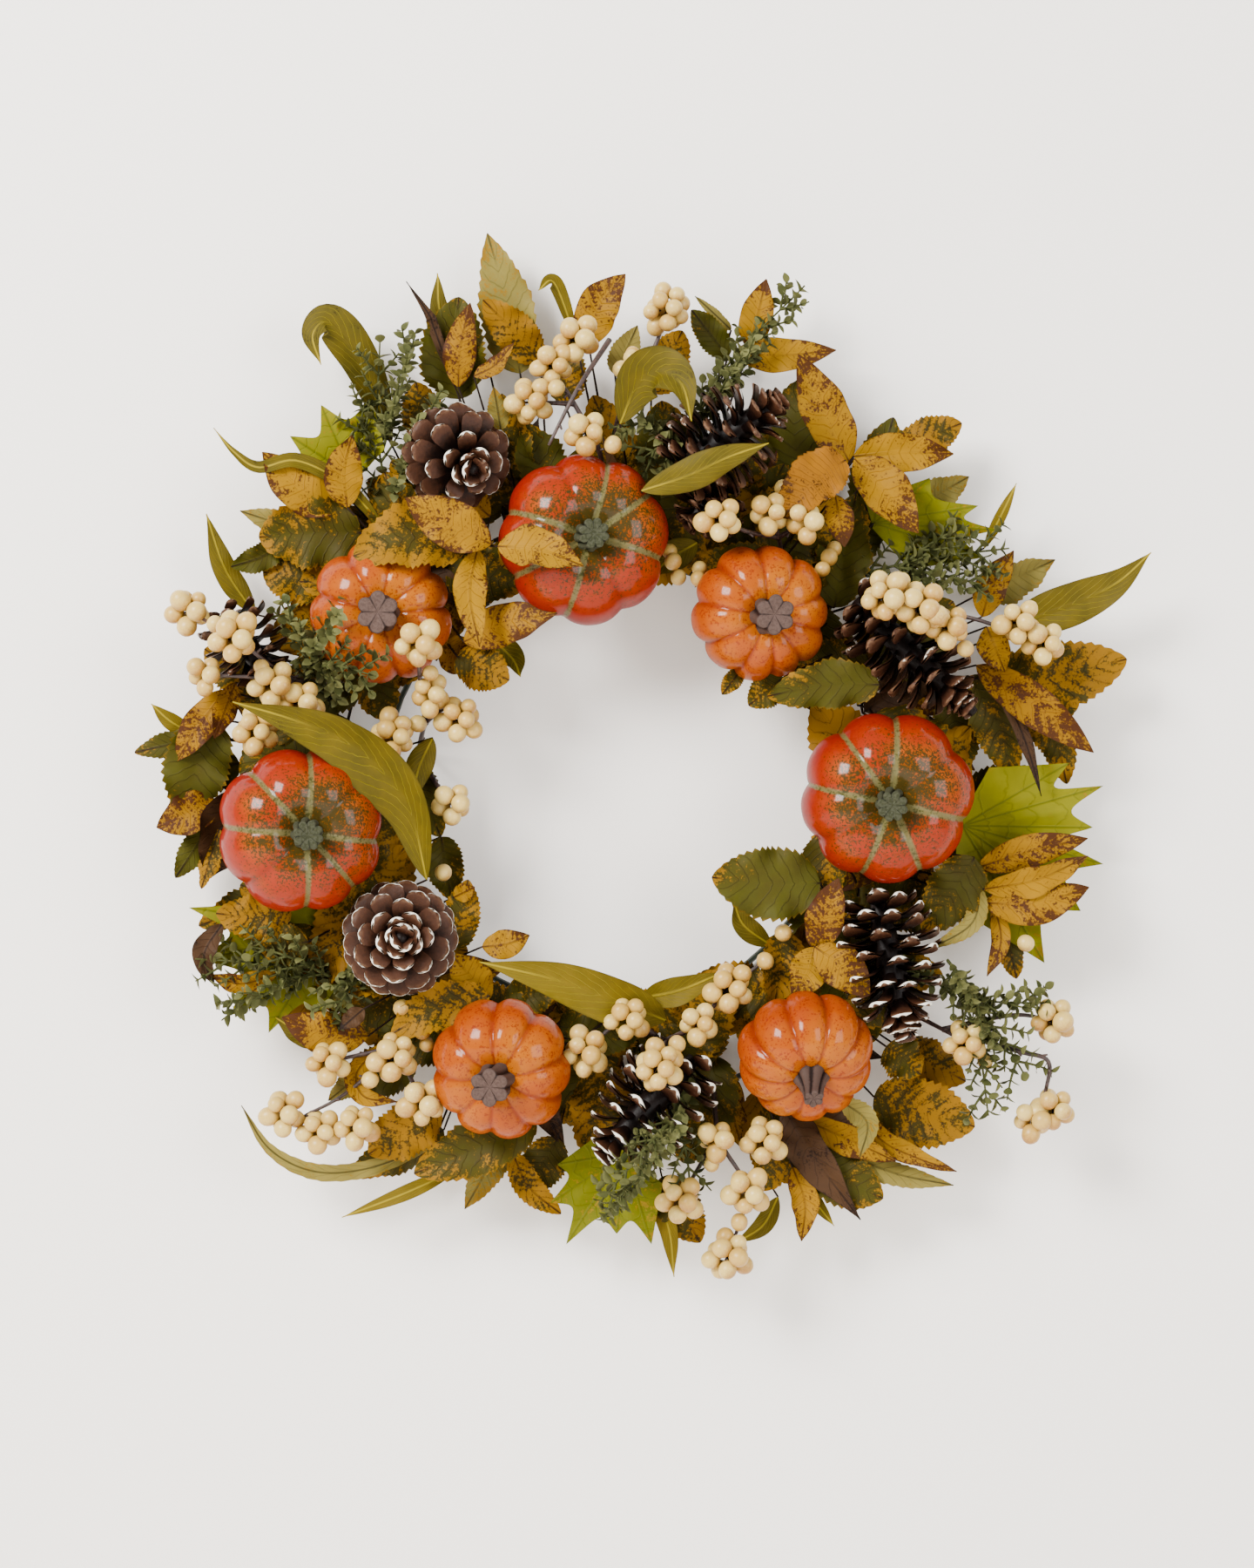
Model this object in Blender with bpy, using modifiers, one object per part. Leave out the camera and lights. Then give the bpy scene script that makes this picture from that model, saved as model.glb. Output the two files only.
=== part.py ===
"""A harvest door wreath on a welded wire frame, with a hanging loop that swings.

Metres, +Z up. The wreath faces -Y. The origin is the middle of the outer hoop's wire at its top,
where the door hook holds it, so the ring's centre lies straight below the origin.
"""

import math

import bmesh
import bpy
from mathutils import Matrix, Quaternion, Vector

MM = 0.001
GAP = 0.0003  # between pieces that touch

# Frame
RING_RADIUS = 0.160  # to the middle of the band between the hoops
HOOP_SPACING = 0.055  # from the inner hoop's wire to the outer one's
HOOP_WIRE = 0.0035
TIE_WIDTH = 0.010
TIE_THICKNESS = 0.002
TIE_OVERHANG = 0.004
TIE_ANGLES = (54, 126, 198, 270, 342)

# Hanging loop
LOOP_WIRE = 0.0018
LOOP_CLEARANCE = 0.00035  # between the hoop's wire and the loop's curled ends
LOOP_WIDTH = 0.016
LOOP_LENGTH = 0.040
LOOP_BENDS = 8  # straight stretches round the bow

# Pumpkins
LARGE_PUMPKIN = 0.094
SMALL_PUMPKIN = 0.078
PUMPKIN_FLATNESS = 0.76  # height over diameter
PUMPKIN_LOBES = 8
LOBE_DEPTH = 0.07  # of the furrows between the lobes, over the pumpkin's radius
END_SINK = 0.30  # how far the two ends are drawn in, over half the height

# Stems
STEM_SEAT = 0.34  # the height of the stem's seat above the middle, over the pumpkin's height
STEM_ROOT = 0.085  # the stem's root radius over the pumpkin's diameter
STEM_SIDES = 12
STEM_RIBS = 6
RIB_DEPTH = 0.18  # of the grooves between the ribs at the cut top, over its radius
GREEN_STEM = (1.0, 0.017)  # the top's radius over the root's, and the length
GREY_STEM = (1.5, 0.020)

# Pine cones, berries, leaves and sprigs
CONE_DIAMETER = 0.054
CONE_ROWS = 11
CONE_SEGMENTS = 12
SCALE_GAP = 0.86  # the radius between the scales over the radius at their tips
BERRY_DIAMETER = 0.0105
CLUSTER_PACKING = 1.05  # spreads a cluster a little beyond berries packed solid
BERRY_RELIEF = 0.25  # the depth of the dips between berries, over a berry's diameter
LEAF_THICKNESS = 0.0009
LEAF_STAGGER = 0.0011  # between the depths of one spray's leaves
LEAF_FOLD = 0.15  # how far a leaf's edges fall behind its midrib, over its half width
LEAF_NARROWEST = 0.001  # half the width that a leaf keeps at its ends
PICK_WIRE = 0.003
TWIG_WIRE = 0.0022
SPRIG_LEAF = 0.008
SPRIG_LEAF_SHAPE = (1.4, 0.3, 0.8)  # length, thickness and width over SPRIG_LEAF
SPRIG_LEAF_TURN = 1.1  # radians between one leaf and the next
SPRIG_STEP = 0.022  # between the leaves along a sprig

# Depths, measured forward from the front of the hoops
LEAF_LAYERS = (0.004, 0.011, 0.018)
SPRIG_LAYER = 0.026
CROWD_BACK = 0.032  # pumpkins, cones and berries lie in front of this
FRONT_LEAF_LAYER = 0.106

# The layout below is drawn for a ring of this radius and moves in or out with the real one.
LAYOUT_RADIUS = 0.160
CROWD_CLEARANCE = 0.0010  # least space that settling leaves between crowded pieces

INNER_HOOP_RADIUS = RING_RADIUS - HOOP_SPACING / 2
OUTER_HOOP_RADIUS = RING_RADIUS + HOOP_SPACING / 2
CENTRE = Vector((0, 0, -OUTER_HOOP_RADIUS))
HOOP_FRONT = -HOOP_WIRE / 2
TIE_MIDDLE = HOOP_WIRE / 2 + GAP + TIE_THICKNESS / 2

COLOURS = {
    "wire": ((0.06, 0.05, 0.04), 0.45, 0.9),
    "red_pumpkin": ((0.80, 0.12, 0.02), 0.35, 0.0),
    "orange_pumpkin": ((0.90, 0.30, 0.02), 0.35, 0.0),
    "green_stem": ((0.20, 0.22, 0.10), 0.6, 0.0),
    "grey_stem": ((0.14, 0.10, 0.09), 0.6, 0.0),
    "cone": ((0.07, 0.03, 0.02), 0.7, 0.0),
    "berry": ((0.78, 0.62, 0.38), 0.4, 0.0),
    "autumn_leaf": ((0.55, 0.32, 0.03), 0.6, 0.0),
    "olive_leaf": ((0.22, 0.20, 0.05), 0.6, 0.0),
    "maple_leaf": ((0.40, 0.48, 0.05), 0.6, 0.0),
    "greenery": ((0.12, 0.16, 0.09), 0.6, 0.0),
}


# Collections and finishes


def new_collection(name):
    collection = bpy.data.collections.new(name)
    bpy.context.scene.collection.children.link(collection)
    return collection


def clear_scene():
    for obj in list(bpy.data.objects):
        bpy.data.objects.remove(obj, do_unlink=True)


clear_scene()
PARTS = new_collection("harvest_door_wreath")
CUTTERS = new_collection("cutters")


def finish(name, colour_name):
    colour, roughness, metallic = COLOURS[colour_name]
    material = bpy.data.materials.new(name)
    material.use_nodes = True
    shader = material.node_tree.nodes["Principled BSDF"]
    shader.inputs["Base Color"].default_value = (*colour, 1)
    shader.inputs["Roughness"].default_value = roughness
    shader.inputs["Metallic"].default_value = metallic
    return material


def add_part(name, data, colour_name, sharp_angle=40):
    """The object of one node, with a material of its own."""
    obj = bpy.data.objects.new(name, data)
    PARTS.objects.link(obj)
    data.materials.clear()
    data.materials.append(finish(name, colour_name))
    data.shade_smooth()
    data.set_sharp_from_angle(angle=math.radians(sharp_angle))
    return obj


def add_cutter(name, data):
    obj = bpy.data.objects.new(name, data)
    CUTTERS.objects.link(obj)
    obj.hide_render = True
    obj.display_type = "WIRE"
    return obj


def mesh_from(bm, name):
    mesh = bpy.data.meshes.new(name)
    bm.to_mesh(mesh)
    bm.free()
    return mesh


# Places on the ring


def place(x_mm, z_mm, depth):
    """A layout point, in mm from the ring's centre, carried along by the real ring's radius."""
    flat = Vector((x_mm, 0, z_mm)) * MM
    flat += flat.normalized() * (RING_RADIUS - LAYOUT_RADIUS)
    return CENTRE + flat + Vector((0, HOOP_FRONT - depth, 0))


def hoop_seat(angle_deg, outer):
    """The point in front of a hoop where a decoration's wire is bound to it."""
    radius = OUTER_HOOP_RADIUS if outer else INNER_HOOP_RADIUS
    angle = math.radians(angle_deg)
    flat = Vector((math.cos(angle), 0, math.sin(angle))) * radius
    return CENTRE + flat + Vector((0, HOOP_FRONT - GAP, 0))


# Basic shapes


def wire_curve(name, points, diameter, sides=6):
    curve = bpy.data.curves.new(name, "CURVE")
    curve.dimensions = "3D"
    spline = curve.splines.new("POLY")
    spline.points.add(len(points) - 1)
    for control, point in zip(spline.points, points):
        control.co = (*point, 1)
    curve.bevel_depth = diameter / 2
    curve.bevel_resolution = sides // 2 - 2
    curve.use_fill_caps = True
    return curve


def curve_to_mesh(curve, name):
    """The curve as a closed mesh: its caps are welded on."""
    holder = add_cutter(name + "_curve", curve)
    bpy.context.view_layer.update()
    graph = bpy.context.evaluated_depsgraph_get()
    mesh = bpy.data.meshes.new_from_object(holder.evaluated_get(graph))
    bpy.data.objects.remove(holder, do_unlink=True)
    bm = bmesh.new()
    bm.from_mesh(mesh)
    bmesh.ops.remove_doubles(bm, verts=bm.verts, dist=1e-6)
    bmesh.ops.recalc_face_normals(bm, faces=bm.faces)
    bm.to_mesh(mesh)
    bm.free()
    return mesh


def wire_mesh(name, points, diameter, sides=6):
    return curve_to_mesh(wire_curve(name, points, diameter, sides), name)


def smooth_path(points, count):
    """Points spread along a Catmull-Rom curve through the given ones."""
    ends = [2 * points[0] - points[1], *points, 2 * points[-1] - points[-2]]
    path = []
    for i in range(count + 1):
        t = i / count * (len(points) - 1)
        k = min(int(t), len(points) - 2)
        t -= k
        a, b, c, d = ends[k : k + 4]
        path.append(
            0.5 * ((2 * b) + (c - a) * t + (2 * a - 5 * b + 4 * c - d) * t**2
                   + (3 * b - a - 3 * c + d) * t**3)
        )
    return path


def join_as_one(name, meshes, colour_name):
    """One solid from closed meshes that overlap each other: the first carries a Boolean union."""
    obj = add_part(name, meshes[0], colour_name)
    if len(meshes) == 1:
        return obj
    others = bpy.data.collections.new(name + "_pieces")
    CUTTERS.children.link(others)
    for i, mesh in enumerate(meshes[1:]):
        piece = bpy.data.objects.new(f"{name}_piece_{i:02d}", mesh)
        others.objects.link(piece)
        piece.hide_render = True
        piece.display_type = "WIRE"
    union = obj.modifiers.new("join", "BOOLEAN")
    union.operation = "UNION"
    union.operand_type = "COLLECTION"
    union.collection = others
    union.solver = "EXACT"
    return obj


# Frame


def make_hoop(name, radius, segments):
    bpy.ops.mesh.primitive_torus_add(
        major_radius=radius,
        minor_radius=HOOP_WIRE / 2,
        major_segments=segments,
        minor_segments=6,
        location=CENTRE,
        rotation=(math.pi / 2, 0, 0),
    )
    ring = bpy.context.object
    mesh = ring.data
    mesh.transform(ring.matrix_world)
    bpy.data.objects.remove(ring, do_unlink=True)
    return add_part(name, mesh, "wire", 60)


def make_tie(name, angle_deg):
    """A flat strap across both hoops, welded to their backs and flat against the door."""
    length = HOOP_SPACING + HOOP_WIRE + 2 * TIE_OVERHANG
    bm = bmesh.new()
    bmesh.ops.create_cube(bm, size=1)
    bmesh.ops.scale(bm, vec=(length, TIE_THICKNESS, TIE_WIDTH), verts=bm.verts)
    obj = add_part(name, mesh_from(bm, name), "wire")
    angle = math.radians(angle_deg)
    obj.location = CENTRE + Vector((math.cos(angle), 0, math.sin(angle))) * RING_RADIUS
    obj.location.y = TIE_MIDDLE
    obj.rotation_euler = (0, -angle, 0)
    return obj


def make_hanging_loop():
    """A wire bow whose two ends are curled into eyes round the outer hoop. Its origin is the hinge."""
    eye_radius = HOOP_WIRE / 2 + LOOP_CLEARANCE + LOOP_WIRE / 2
    eyes = []
    for side in (-1, 1):
        bpy.ops.mesh.primitive_torus_add(
            major_radius=eye_radius,
            minor_radius=LOOP_WIRE / 2,
            major_segments=16,
            minor_segments=6,
            location=(side * LOOP_WIDTH / 2, 0, 0),
            rotation=(0, math.pi / 2, 0),
        )
        eye = bpy.context.object
        eye.data.transform(eye.matrix_world)
        eyes.append(eye.data)
        bpy.data.objects.remove(eye, do_unlink=True)
    half = LOOP_WIDTH / 2
    bow = [Vector((-half, 0, -eye_radius))]
    bottom = -LOOP_LENGTH + half
    for i in range(LOOP_BENDS + 1):
        angle = math.pi + math.pi * i / LOOP_BENDS
        bow.append(Vector((half * math.cos(angle), 0, bottom + half * math.sin(angle))))
    bow.append(Vector((half, 0, -eye_radius)))
    return join_as_one("hanging_loop", [wire_mesh("bow", bow, LOOP_WIRE), *eyes], "wire")


# Rounded decorations: each is laid out first, and settled so that none presses into another.


class Rounded:
    """A pumpkin, a cone or a berry cluster, as the balls that it fills while it settles."""

    def __init__(self, name, balls, pinned=False):
        self.name = name
        self.balls = balls
        self.pinned = pinned
        self.shift = Vector()

    def ball(self, index):
        centre, radius = self.balls[index]
        return centre + self.shift, radius


def push_apart(one, other):
    """Moves two pieces off each other along the line between their deepest balls."""
    deepest = 0
    push = None
    for i in range(len(one.balls)):
        for j in range(len(other.balls)):
            a, radius_a = one.ball(i)
            b, radius_b = other.ball(j)
            away = b - a
            depth = radius_a + radius_b + CROWD_CLEARANCE - away.length
            if depth > deepest:
                deepest = depth
                push = away.normalized() * depth
    if push is None:
        return
    share = 0.5 if not (one.pinned or other.pinned) else 1.0
    if not one.pinned:
        one.shift -= push * share
    if not other.pinned:
        other.shift += push * share


def settle(pieces, rounds=60):
    """Pushes crowded pieces apart, and keeps each one in front of the leaves."""
    for _ in range(rounds):
        for i, one in enumerate(pieces):
            for other in pieces[i + 1 :]:
                if not (one.pinned and other.pinned):
                    push_apart(one, other)
        for piece in pieces:
            if piece.pinned:
                continue
            back = max(piece.ball(i)[0].y + piece.ball(i)[1] for i in range(len(piece.balls)))
            piece.shift.y += min(0, HOOP_FRONT - CROWD_BACK - back)


# name: diameter, x, z (mm in the layout), tilt right, tilt up (degrees), turn (degrees)
PUMPKINS = {
    "large_pumpkin_top": (LARGE_PUMPKIN, -15, 140, 8, 0, 10),
    "large_pumpkin_left": (LARGE_PUMPKIN, -176, -26, 12, -4, 30),
    "large_pumpkin_right": (LARGE_PUMPKIN, 158, -8, 2, -6, 0),
    "small_pumpkin_upper_left": (SMALL_PUMPKIN, -131, 98, 2, -3, 0),
    "small_pumpkin_upper_right": (SMALL_PUMPKIN, 86, 98, 8, -5, 20),
    "small_pumpkin_lower_left": (SMALL_PUMPKIN, -62, -162, -4, -12, 0),
    "small_pumpkin_lower_right": (SMALL_PUMPKIN, 112, -155, 5, -30, 15),
}

# name: x, z of the foot and of the tip (mm), depth of the tip ahead of the foot (mm), length (mm)
CONES = {
    "pine_cone_top_left": (-94, 192, -72, 172, 45, 62),
    "pine_cone_top_right": (42, 184, 96, 216, 14, 80),
    "pine_cone_top_right_inner": (68, 166, 48, 146, 0, 44),
    "pine_cone_right": (146, 98, 202, 44, 20, 84),
    "pine_cone_left": (-212, 96, -196, 64, 10, 62),
    "pine_cone_lower_left": (-119, -88, -116, -86, 58, 64),
    "pine_cone_bottom": (46, -160, -2, -210, 14, 82),
    "pine_cone_lower_right": (150, -72, 167, -140, 14, 82),
}

# Degrees that a binding is moved round the ring, to miss its neighbours' wires
BINDING_TURNS = {"large_pumpkin_top": 4, "pine_cone_top_right_inner": 10}

# name: clusters as (x, z, depth in mm, number of berries), in the order they leave the twig
BERRIES = {
    "berry_spray_top": ((-33, 232, 62, 14), (-12, 196, 66, 4), (16, 238, 56, 6), (32, 270, 50, 8)),
    "berry_spray_upper_right": ((90, 153, 66, 5), (62, 148, 84, 6), (111, 147, 66, 4)),
    "berry_spray_right": ((152, 104, 96, 7), (172, 96, 96, 7), (190, 88, 92, 7), (222, 100, 66, 6),
                          (245, 78, 58, 6)),
    "berry_spray_left": ((-238, 98, 60, 6), (-212, 84, 92, 7), (-228, 64, 62, 4),
                         (-182, 54, 70, 8), (-200, 28, 60, 7)),
    "berry_spray_left_inner": ((-106, 78, 100, 6), (-92, 42, 66, 9), (-122, 27, 60, 7),
                               (-88, -10, 58, 5)),
    "berry_spray_lower_left": ((-122, -155, 58, 7), (-160, -158, 56, 6), (-106, -181, 60, 6),
                               (-144, -194, 50, 6), (-178, -190, 46, 8)),
    "berry_spray_bottom": ((-14, -152, 60, 7), (10, -133, 66, 7), (28, -158, 84, 8),
                           (50, -135, 66, 5), (68, -115, 60, 8)),
    "berry_spray_bottom_right": ((60, -202, 56, 4), (88, -202, 50, 7), (78, -232, 56, 7),
                                 (40, -236, 50, 6), (68, -268, 46, 8)),
    "berry_spray_lower_right": ((202, -148, 60, 6), (253, -135, 50, 6), (248, -188, 46, 8)),
}

# name: angle of the binding on the ring (degrees), whether on the outer hoop, and the fork where
# the twigs part, as its x, z and depth (mm)
BERRY_WIRES = {
    "berry_spray_top": (100, True, (-4, 205, 36)),
    "berry_spray_upper_right": (57, True, (88, 160, 84)),
    "berry_spray_right": (32, True, (184, 112, 60)),
    "berry_spray_left": (165, True, (-205, 58, 96)),
    "berry_spray_left_inner": (168, False, (-106, 34, 36)),
    "berry_spray_lower_left": (230, True, (-138, -172, 40)),
    "berry_spray_bottom": (280, False, (24, -142, 36)),
    "berry_spray_bottom_right": (291, True, (68, -218, 36)),
    "berry_spray_lower_right": (320, True, (200, -165, 36)),
}

# name: angle of the binding on the ring (degrees), whether on the outer hoop, layer,
# then leaves as (width, then x and z of the points from its foot to its tip, all in mm)
LEAF_SPRAYS = {
    "leaf_spray_top_left": (113, True, 0, "autumn_leaf", (
        (30, -55, 250, -71, 316),
        (20, -44, 252, -72, 277),
        (34, -87, 230, -88, 277),
        (7, -92, 228, -103, 264, -116, 286),
        (10, -76, 235, -57, 252),
    )),
    "leaf_spray_top": (76, True, 1, "autumn_leaf", (
        (20, -10, 262, 8, 290),
        (14, 65, 250, 48, 271),
        (16, 80, 256, 88, 287),
        (18, 80, 250, 127, 249),
        (8, -20, 262, -32, 288),
    )),
    "leaf_spray_upper_left": (134, True, 1, "olive_leaf", (
        (22, -130, 204, -138, 232, -150, 252, -164, 265),
        (25, -155, 160, -196, 187),
        (34, -148, 143, -199, 154),
        (8, -160, 176, -182, 186, -215, 191, -225, 202),
        (13, -190, 140, -215, 127),
    )),
    "leaf_spray_upper_left_inner": (127, False, 3, "autumn_leaf", (
        (24, -70, 138, -111, 157),
        (22, -62, 130, -19, 121),
        (30, -80, 130, -132, 118),
    )),
    "leaf_spray_upper_right": (53, True, 0, "autumn_leaf", (
        (24, 138, 190, 110, 242),
        (20, 146, 190, 194, 189),
        (25, 146, 184, 174, 146),
        (26, 132, 182, 102, 168),
        (18, 160, 200, 198, 208),
    )),
    "leaf_spray_right": (26, True, 1, "olive_leaf", (
        (20, 226, 88, 268, 105, 308, 131),
        (16, 216, 98, 231, 132),
        (34, 228, 60, 295, 70),
        (20, 222, 54, 272, 22),
        (24, 212, 52, 232, 10),
    )),
    "leaf_spray_right_maple": (344, True, 0, "maple_leaf", (
        (40, 206, -18, 282, 0),
        (30, 214, -40, 270, -36),
        (36, 208, -52, 262, -72),
        (26, 202, -58, 238, -98),
    )),
    "leaf_spray_lower_right_inner": (322, False, 2, "autumn_leaf", (
        (34, 112, -58, 59, -52),
        (18, 116, -74, 127, -44),
        (20, 106, -92, 96, -118),
    )),
    "leaf_spray_lower_right": (304, True, 1, "olive_leaf", (
        (34, 158, -184, 207, -197),
        (11, 148, -196, 166, -212, 196, -221),
        (30, 120, -214, 154, -236),
        (14, 108, -224, 110, -258),
        (24, 100, -208, 86, -236),
    )),
    "leaf_spray_bottom": (268, True, 0, "maple_leaf", (
        (34, 4, -224, -23, -260),
        (24, 2, -218, -30, -236),
        (10, 26, -232, 36, -280),
        (20, 38, -230, 52, -260),
    )),
    "leaf_spray_lower_left": (236, True, 2, "olive_leaf", (
        (30, -62, -200, -108, -220),
        (14, -60, -214, -32, -243),
        (9, -92, -222, -120, -236, -151, -247),
        (9, -108, -212, -140, -220, -170, -222, -195, -209, -209, -187),
        (20, -150, -148, -184, -135),
    )),
    "leaf_spray_left_maple": (207, True, 0, "maple_leaf", (
        (44, -176, -84, -238, -74),
        (40, -178, -96, -226, -128),
        (34, -172, -100, -195, -141),
        (14, -190, -110, -226, -108),
    )),
    "leaf_spray_left": (172, True, 1, "autumn_leaf", (
        (18, -230, -4, -256, -22),
        (15, -232, 26, -269, 19),
        (30, -222, 6, -238, -48),
        (9, -236, 34, -261, 44),
        (17, -222, 52, -246, 24),
    )),
    "leaf_spray_inner_left": (205, False, 3, "olive_leaf", (
        (24, -104, -48, -112, -15, -130, 12, -152, 27, -180, 37, -207, 45),
        (16, -86, -60, -78, -86),
    )),
}

# name: angle of the binding (degrees), whether on the outer hoop,
# then the branches as x and z of their points (mm)
GREENERY = {
    "greenery_sprig_upper_left": (139, True, (
        (-124, 148, -134, 190, -132, 250),
        (-134, 190, -114, 216, -112, 248),
    )),
    "greenery_sprig_top": (66, True, (
        (42, 188, 62, 232, 108, 280),
        (62, 232, 96, 252),
    )),
    "greenery_sprig_right": (38, True, (
        (150, 118, 190, 128, 226, 135),
        (190, 128, 208, 116),
    )),
    "greenery_sprig_left": (160, True, (
        (-168, 56, -172, 74, -184, 102),
        (-172, 74, -140, 66),
    )),
    "greenery_sprig_lower_left": (218, True, (
        (-150, -112, -190, -104, -234, -100),
        (-190, -104, -220, -122),
    )),
    "greenery_sprig_bottom": (283, True, (
        (44, -178, 26, -212, 2, -242),
        (26, -212, 44, -232),
    )),
    "greenery_sprig_lower_right": (328, True, (
        (166, -104, 206, -130, 250, -126),
        (206, -130, 216, -184),
    )),
}


def facing(tilt_right, tilt_up):
    """The direction that a decoration's top looks in: -Y, turned by the tilts in degrees."""
    right = math.radians(tilt_right)
    up = math.radians(tilt_up)
    return Vector((math.sin(right), -math.cos(right) * math.cos(up), math.sin(up))).normalized()


def lay_out_pumpkins():
    """Each pumpkin's frame: its centre, with +Z along its stem."""
    frames = {}
    for name, (diameter, x, z, tilt_right, tilt_up, turn) in PUMPKINS.items():
        centre = place(x, z, CROWD_BACK + diameter * PUMPKIN_FLATNESS / 2)
        axis = facing(tilt_right, tilt_up)
        centre.y -= diameter / 2 * (1 - PUMPKIN_FLATNESS) * math.sqrt(1 - axis.y**2)
        spin = Quaternion((0, 0, 1), math.radians(turn))
        rotation = axis.to_track_quat("Z", "Y") @ spin
        frames[name] = Matrix.Translation(centre) @ rotation.to_matrix().to_4x4()
    return frames


def pumpkin_balls(frame, diameter):
    """A flat sphere as a ring of balls round a middle one."""
    small = diameter * PUMPKIN_FLATNESS / 2
    reach = diameter / 2 - small
    balls = [(frame.translation.copy(), small)]
    for i in range(12):
        angle = math.tau * i / 12
        offset = Vector((math.cos(angle), math.sin(angle), 0)) * reach
        balls.append((frame @ offset, small))
    return balls


def lay_out_cones():
    cones = {}
    for name, (foot_x, foot_z, tip_x, tip_z, rise, length) in CONES.items():
        foot = place(foot_x, foot_z, CROWD_BACK + CONE_DIAMETER / 2)
        tip = place(tip_x, tip_z, CROWD_BACK + CONE_DIAMETER / 2 + rise * MM)
        axis = (tip - foot).normalized()
        middle = (foot + tip) / 2
        half = axis * length * MM / 2
        cones[name] = (middle - half, middle + half)
    return cones


def cone_radius(share):
    """The cone's outline from its foot (0) to its tip (1), as a share of its widest radius."""
    return math.sin(math.pi * (0.13 + 0.80 * share) ** 0.72) ** 0.75


def cone_balls(foot, tip):
    balls = []
    for i in range(6):
        share = (i + 0.5) / 6
        radius = CONE_DIAMETER / 2 * cone_radius(share)
        balls.append((foot.lerp(tip, share), radius))
    return balls


def cluster_radius(count):
    """The radius of the ball that a cluster's berries fill round its middle."""
    return BERRY_DIAMETER / 2 * (1 + CLUSTER_PACKING * count ** (1 / 3))


def lay_out_clusters():
    clusters = {}
    for name, spots in BERRIES.items():
        for i, (x, z, depth, count) in enumerate(spots):
            clusters[name, i] = (place(x, z, depth * MM), count)
    return clusters


# The settled places, which everything below is built on.

PUMPKIN_FRAMES = lay_out_pumpkins()
CONE_ENDS = lay_out_cones()
CLUSTERS = lay_out_clusters()


def settle_all():
    pieces = []
    for name, frame in PUMPKIN_FRAMES.items():
        pieces.append(Rounded(name, pumpkin_balls(frame, PUMPKINS[name][0]), pinned=True))
    for name, (foot, tip) in CONE_ENDS.items():
        pieces.append(Rounded(name, cone_balls(foot, tip)))
    for name, (centre, count) in CLUSTERS.items():
        pieces.append(Rounded(name, [(centre, cluster_radius(count))]))
    settle(pieces)
    for piece in pieces:
        if piece.name in CONE_ENDS:
            foot, tip = CONE_ENDS[piece.name]
            CONE_ENDS[piece.name] = (foot + piece.shift, tip + piece.shift)
        elif piece.name in CLUSTERS:
            centre, count = CLUSTERS[piece.name]
            CLUSTERS[piece.name] = (centre + piece.shift, count)


settle_all()


def pick_path(angle_deg, outer, end):
    """A decoration's wire: from its binding on a hoop, straight out past the leaves, then to it."""
    seat = hoop_seat(angle_deg, outer)
    bend = Vector((seat.x, HOOP_FRONT - CROWD_BACK + PICK_WIRE, seat.z))
    return [seat, bend, end]


def nearest_binding(point):
    """The angle and the hoop of the binding nearest a decoration."""
    flat = Vector((point.x - CENTRE.x, point.z - CENTRE.z))
    angle = math.degrees(math.atan2(flat.y, flat.x))
    return angle, flat.length > RING_RADIUS


# Pumpkins


def lobed_body(diameter):
    """A flattened sphere pulled into lobes, sunk at both ends, with +Z towards the stem."""
    bm = bmesh.new()
    bmesh.ops.create_uvsphere(bm, u_segments=PUMPKIN_LOBES * 3, v_segments=8, radius=1)
    for vertex in bm.verts:
        x, y, z = vertex.co
        out = math.hypot(x, y)
        around = math.atan2(y, x)
        lobe = 1 - LOBE_DEPTH * out * (1 - abs(math.cos(around * PUMPKIN_LOBES / 2)))
        sink = END_SINK * (1 - out) ** 2
        vertex.co.x = x * lobe * diameter / 2
        vertex.co.y = y * lobe * diameter / 2
        vertex.co.z = (z - math.copysign(sink, z)) * diameter / 2 * PUMPKIN_FLATNESS
    return bm


def stem_seat(diameter):
    """The height above the pumpkin's middle at which its stem is let in."""
    return diameter * PUMPKIN_FLATNESS * STEM_SEAT


def stem_cone(diameter, flare, length, spare):
    """The stem's outline, standing on its seat: also its seat's cutter, where spare is the clearance."""
    root = diameter * STEM_ROOT
    bm = bmesh.new()
    bmesh.ops.create_cone(
        bm,
        cap_ends=True,
        segments=STEM_SIDES,
        radius1=root + spare,
        radius2=root * flare + spare,
        depth=length,
    )
    bm.transform(Matrix.Translation((0, 0, stem_seat(diameter) + length / 2)))
    return bm


def make_pumpkin(name, diameter, colour_name, flare, length):
    frame = PUMPKIN_FRAMES[name]
    bm = lobed_body(diameter)
    bm.transform(frame)
    body = mesh_from(bm, name)
    angle, outer = nearest_binding(frame.translation)
    path = pick_path(angle + BINDING_TURNS.get(name, 0), outer, frame.translation)
    obj = join_as_one(name, [body, wire_mesh(name + "_pick", path, PICK_WIRE)], colour_name)

    bm = stem_cone(diameter, flare, length, GAP)
    bm.transform(frame)
    cut = obj.modifiers.new("stem_seat", "BOOLEAN")
    cut.operation = "DIFFERENCE"
    cut.object = add_cutter(name + "_stem_seat", mesh_from(bm, name + "_stem_seat"))
    cut.solver = "EXACT"


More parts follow.
